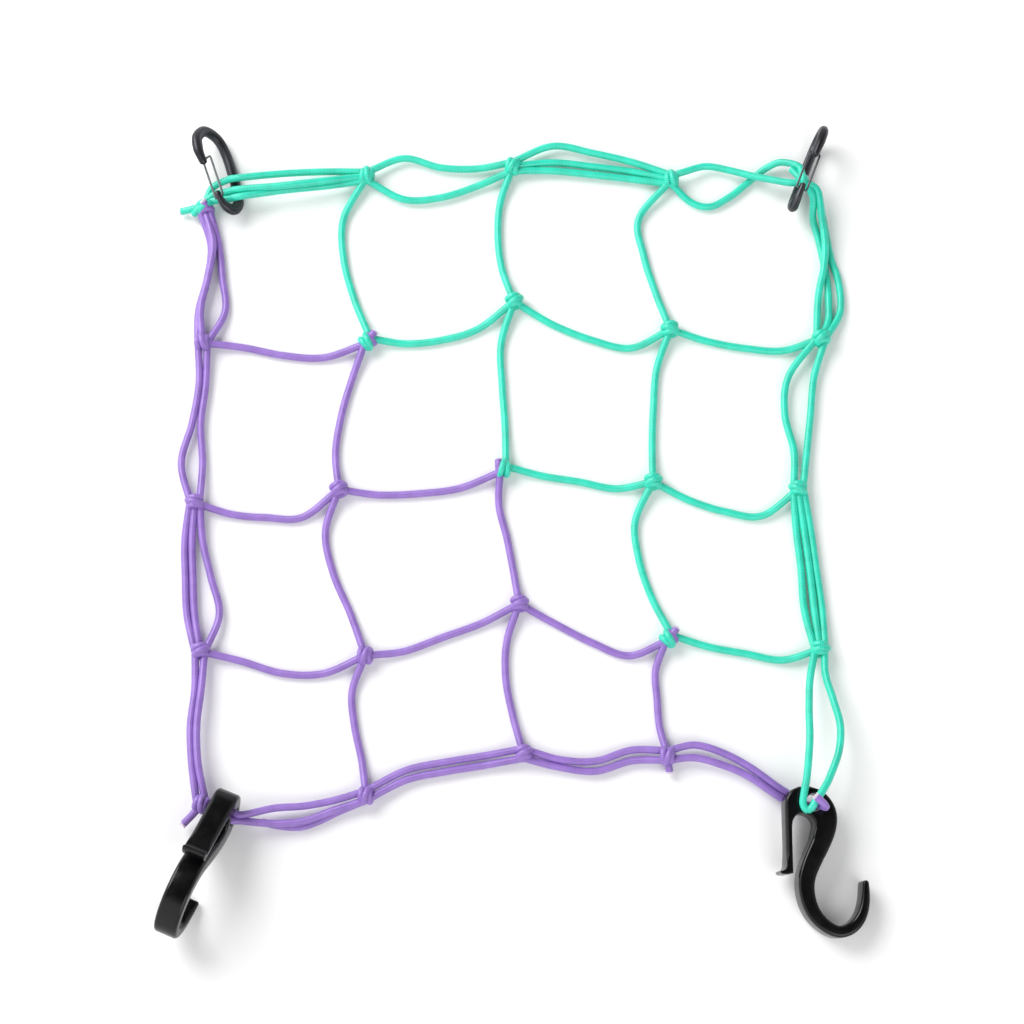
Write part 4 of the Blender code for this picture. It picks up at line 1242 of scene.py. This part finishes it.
# ---- the studio
@dataclass(frozen=True)
class SoftBox:
    """One soft light: its place, m, its size, m, and its power, W."""
    name: str
    place: tuple[float, float, float]
    size: float
    power: float

    def add(self) -> None:
        """Add the light, aimed at the middle of the net."""
        light = bpy.data.lights.new(self.name, "AREA")
        light.shape = "DISK"
        light.size = self.size
        light.energy = self.power
        lamp = placed(self.name, light)
        lamp.location = self.place
        lamp.rotation_mode = "QUATERNION"
        lamp.rotation_quaternion = (-Vector(self.place)).to_track_quat("-Z", "Y")


@dataclass
class Studio:
    """A white paper floor, soft lights and the camera over the net."""
    floor: bpy.types.Material
    floor_size: float = 6.0         # m
    elevation: float = 75.0         # the camera's angle over the floor, degrees
    distance: float = 1.2           # m from the layout's origin
    lens: float = 84.375            # mm on a 36 mm sensor
    bright: float = 1.0             # the room's brightness round the net
    dark: float = 0.05              # and in the dark patch that the black faces mirror
    patch: tuple[float, float, float] = (0.0, 0.4, 0.917)    # towards its middle
    patch_edges: tuple[float, float] = (0.62, 0.86)           # cosines of its soft edge
    lean_left: float = 0.4          # how much brighter the left is than the middle
    lights: tuple[SoftBox, ...] = (
        SoftBox("key", (-1.0, 0.9, 1.2), 1.3, 31.0),
        SoftBox("fill", (0.75, -1.05, 1.2), 1.3, 9.0))

    def room(self) -> bpy.types.World:
        """Light the room: bright all round, with a dark patch overhead.

        Returns:
            The room's light.
        """
        world = bpy.data.worlds.new("studio_room")
        world.use_nodes = True
        tree = world.node_tree
        way = add_node(tree, "TexCoord").outputs["Generated"]
        nearness = add_node(tree, "VectorMath", {0: way, 1: self.patch},
                            operation="DOT_PRODUCT").outputs["Value"]
        bright = add_node(tree, "MapRange", {
            "Value": nearness, "From Min": self.patch_edges[0], "From Max": self.patch_edges[1],
            "To Min": self.bright, "To Max": self.dark}, interpolation_type="SMOOTHSTEP")
        parts = add_node(tree, "SeparateXYZ", {0: way})
        left = add_node(tree, "Math", {0: parts, 1: -self.lean_left, 2: 1.0},
                        operation="MULTIPLY_ADD")
        strength = add_node(tree, "Math", {0: bright, 1: left}, operation="MULTIPLY")
        feed(tree.nodes["Background"], {"Color": linear("#FFFFFF"), "Strength": strength})
        return world

    def build(self) -> None:
        """Add the floor, the lights, the room's light and the camera."""
        half = self.floor_size / 2
        mesh = bpy.data.meshes.new("paper_floor")
        mesh.from_pydata([(-half, -half, 0), (half, -half, 0), (half, half, 0),
                          (-half, half, 0)], [], [(0, 1, 2, 3)])
        mesh.materials.append(self.floor)
        placed("paper_floor", mesh)
        for light in self.lights:
            light.add()
        bpy.context.scene.world = self.room()
        view = bpy.context.scene.view_settings
        view.view_transform = "Standard"
        view.look = "None"
        lens = bpy.data.cameras.new("over_the_net")
        lens.lens = self.lens
        lens.sensor_width = 36.0
        camera = placed("over_the_net", lens)
        lean = math.radians(self.elevation)
        camera.location = (Vector((0.0, -math.cos(lean), math.sin(lean))) * self.distance
                           - MIDDLE * MM)
        camera.rotation_euler = (math.radians(90.0 - self.elevation), 0.0, 0.0)
        bpy.context.scene.camera = camera


def main() -> None:
    """Load the frame, build each sub-assembly and note the sizes."""
    logging.basicConfig(level=logging.INFO, format="%(message)s")
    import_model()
    # each cord's dye colour, the painted shade of its braid's grooves, and its sheen tint
    mint = BraidedPolyester("mint_braided_cord", "#24DEBF", "#0A856E", "#D4FAF2")
    purple = BraidedPolyester("purple_braided_cord", "#9A75CB", "#4E307E", "#EADCF8")
    core = RubberThread().material()
    for colour, finish in ((Colour.MINT, mint), (Colour.PURPLE, purple)):
        CordNet(colour, finish.material(), core).build()
    bar, wire = AnodisedAluminium().material(), DrawnSteelWire().material()
    nylon = MouldedNylon().material()
    for side in Side:
        Carabiner(side, bar, wire).build()
        SnapHook(side, nylon).build()
    Studio(PaperSweep().material()).build()
    bpy.context.view_layer.update()


if __name__ == "__main__":
    main()
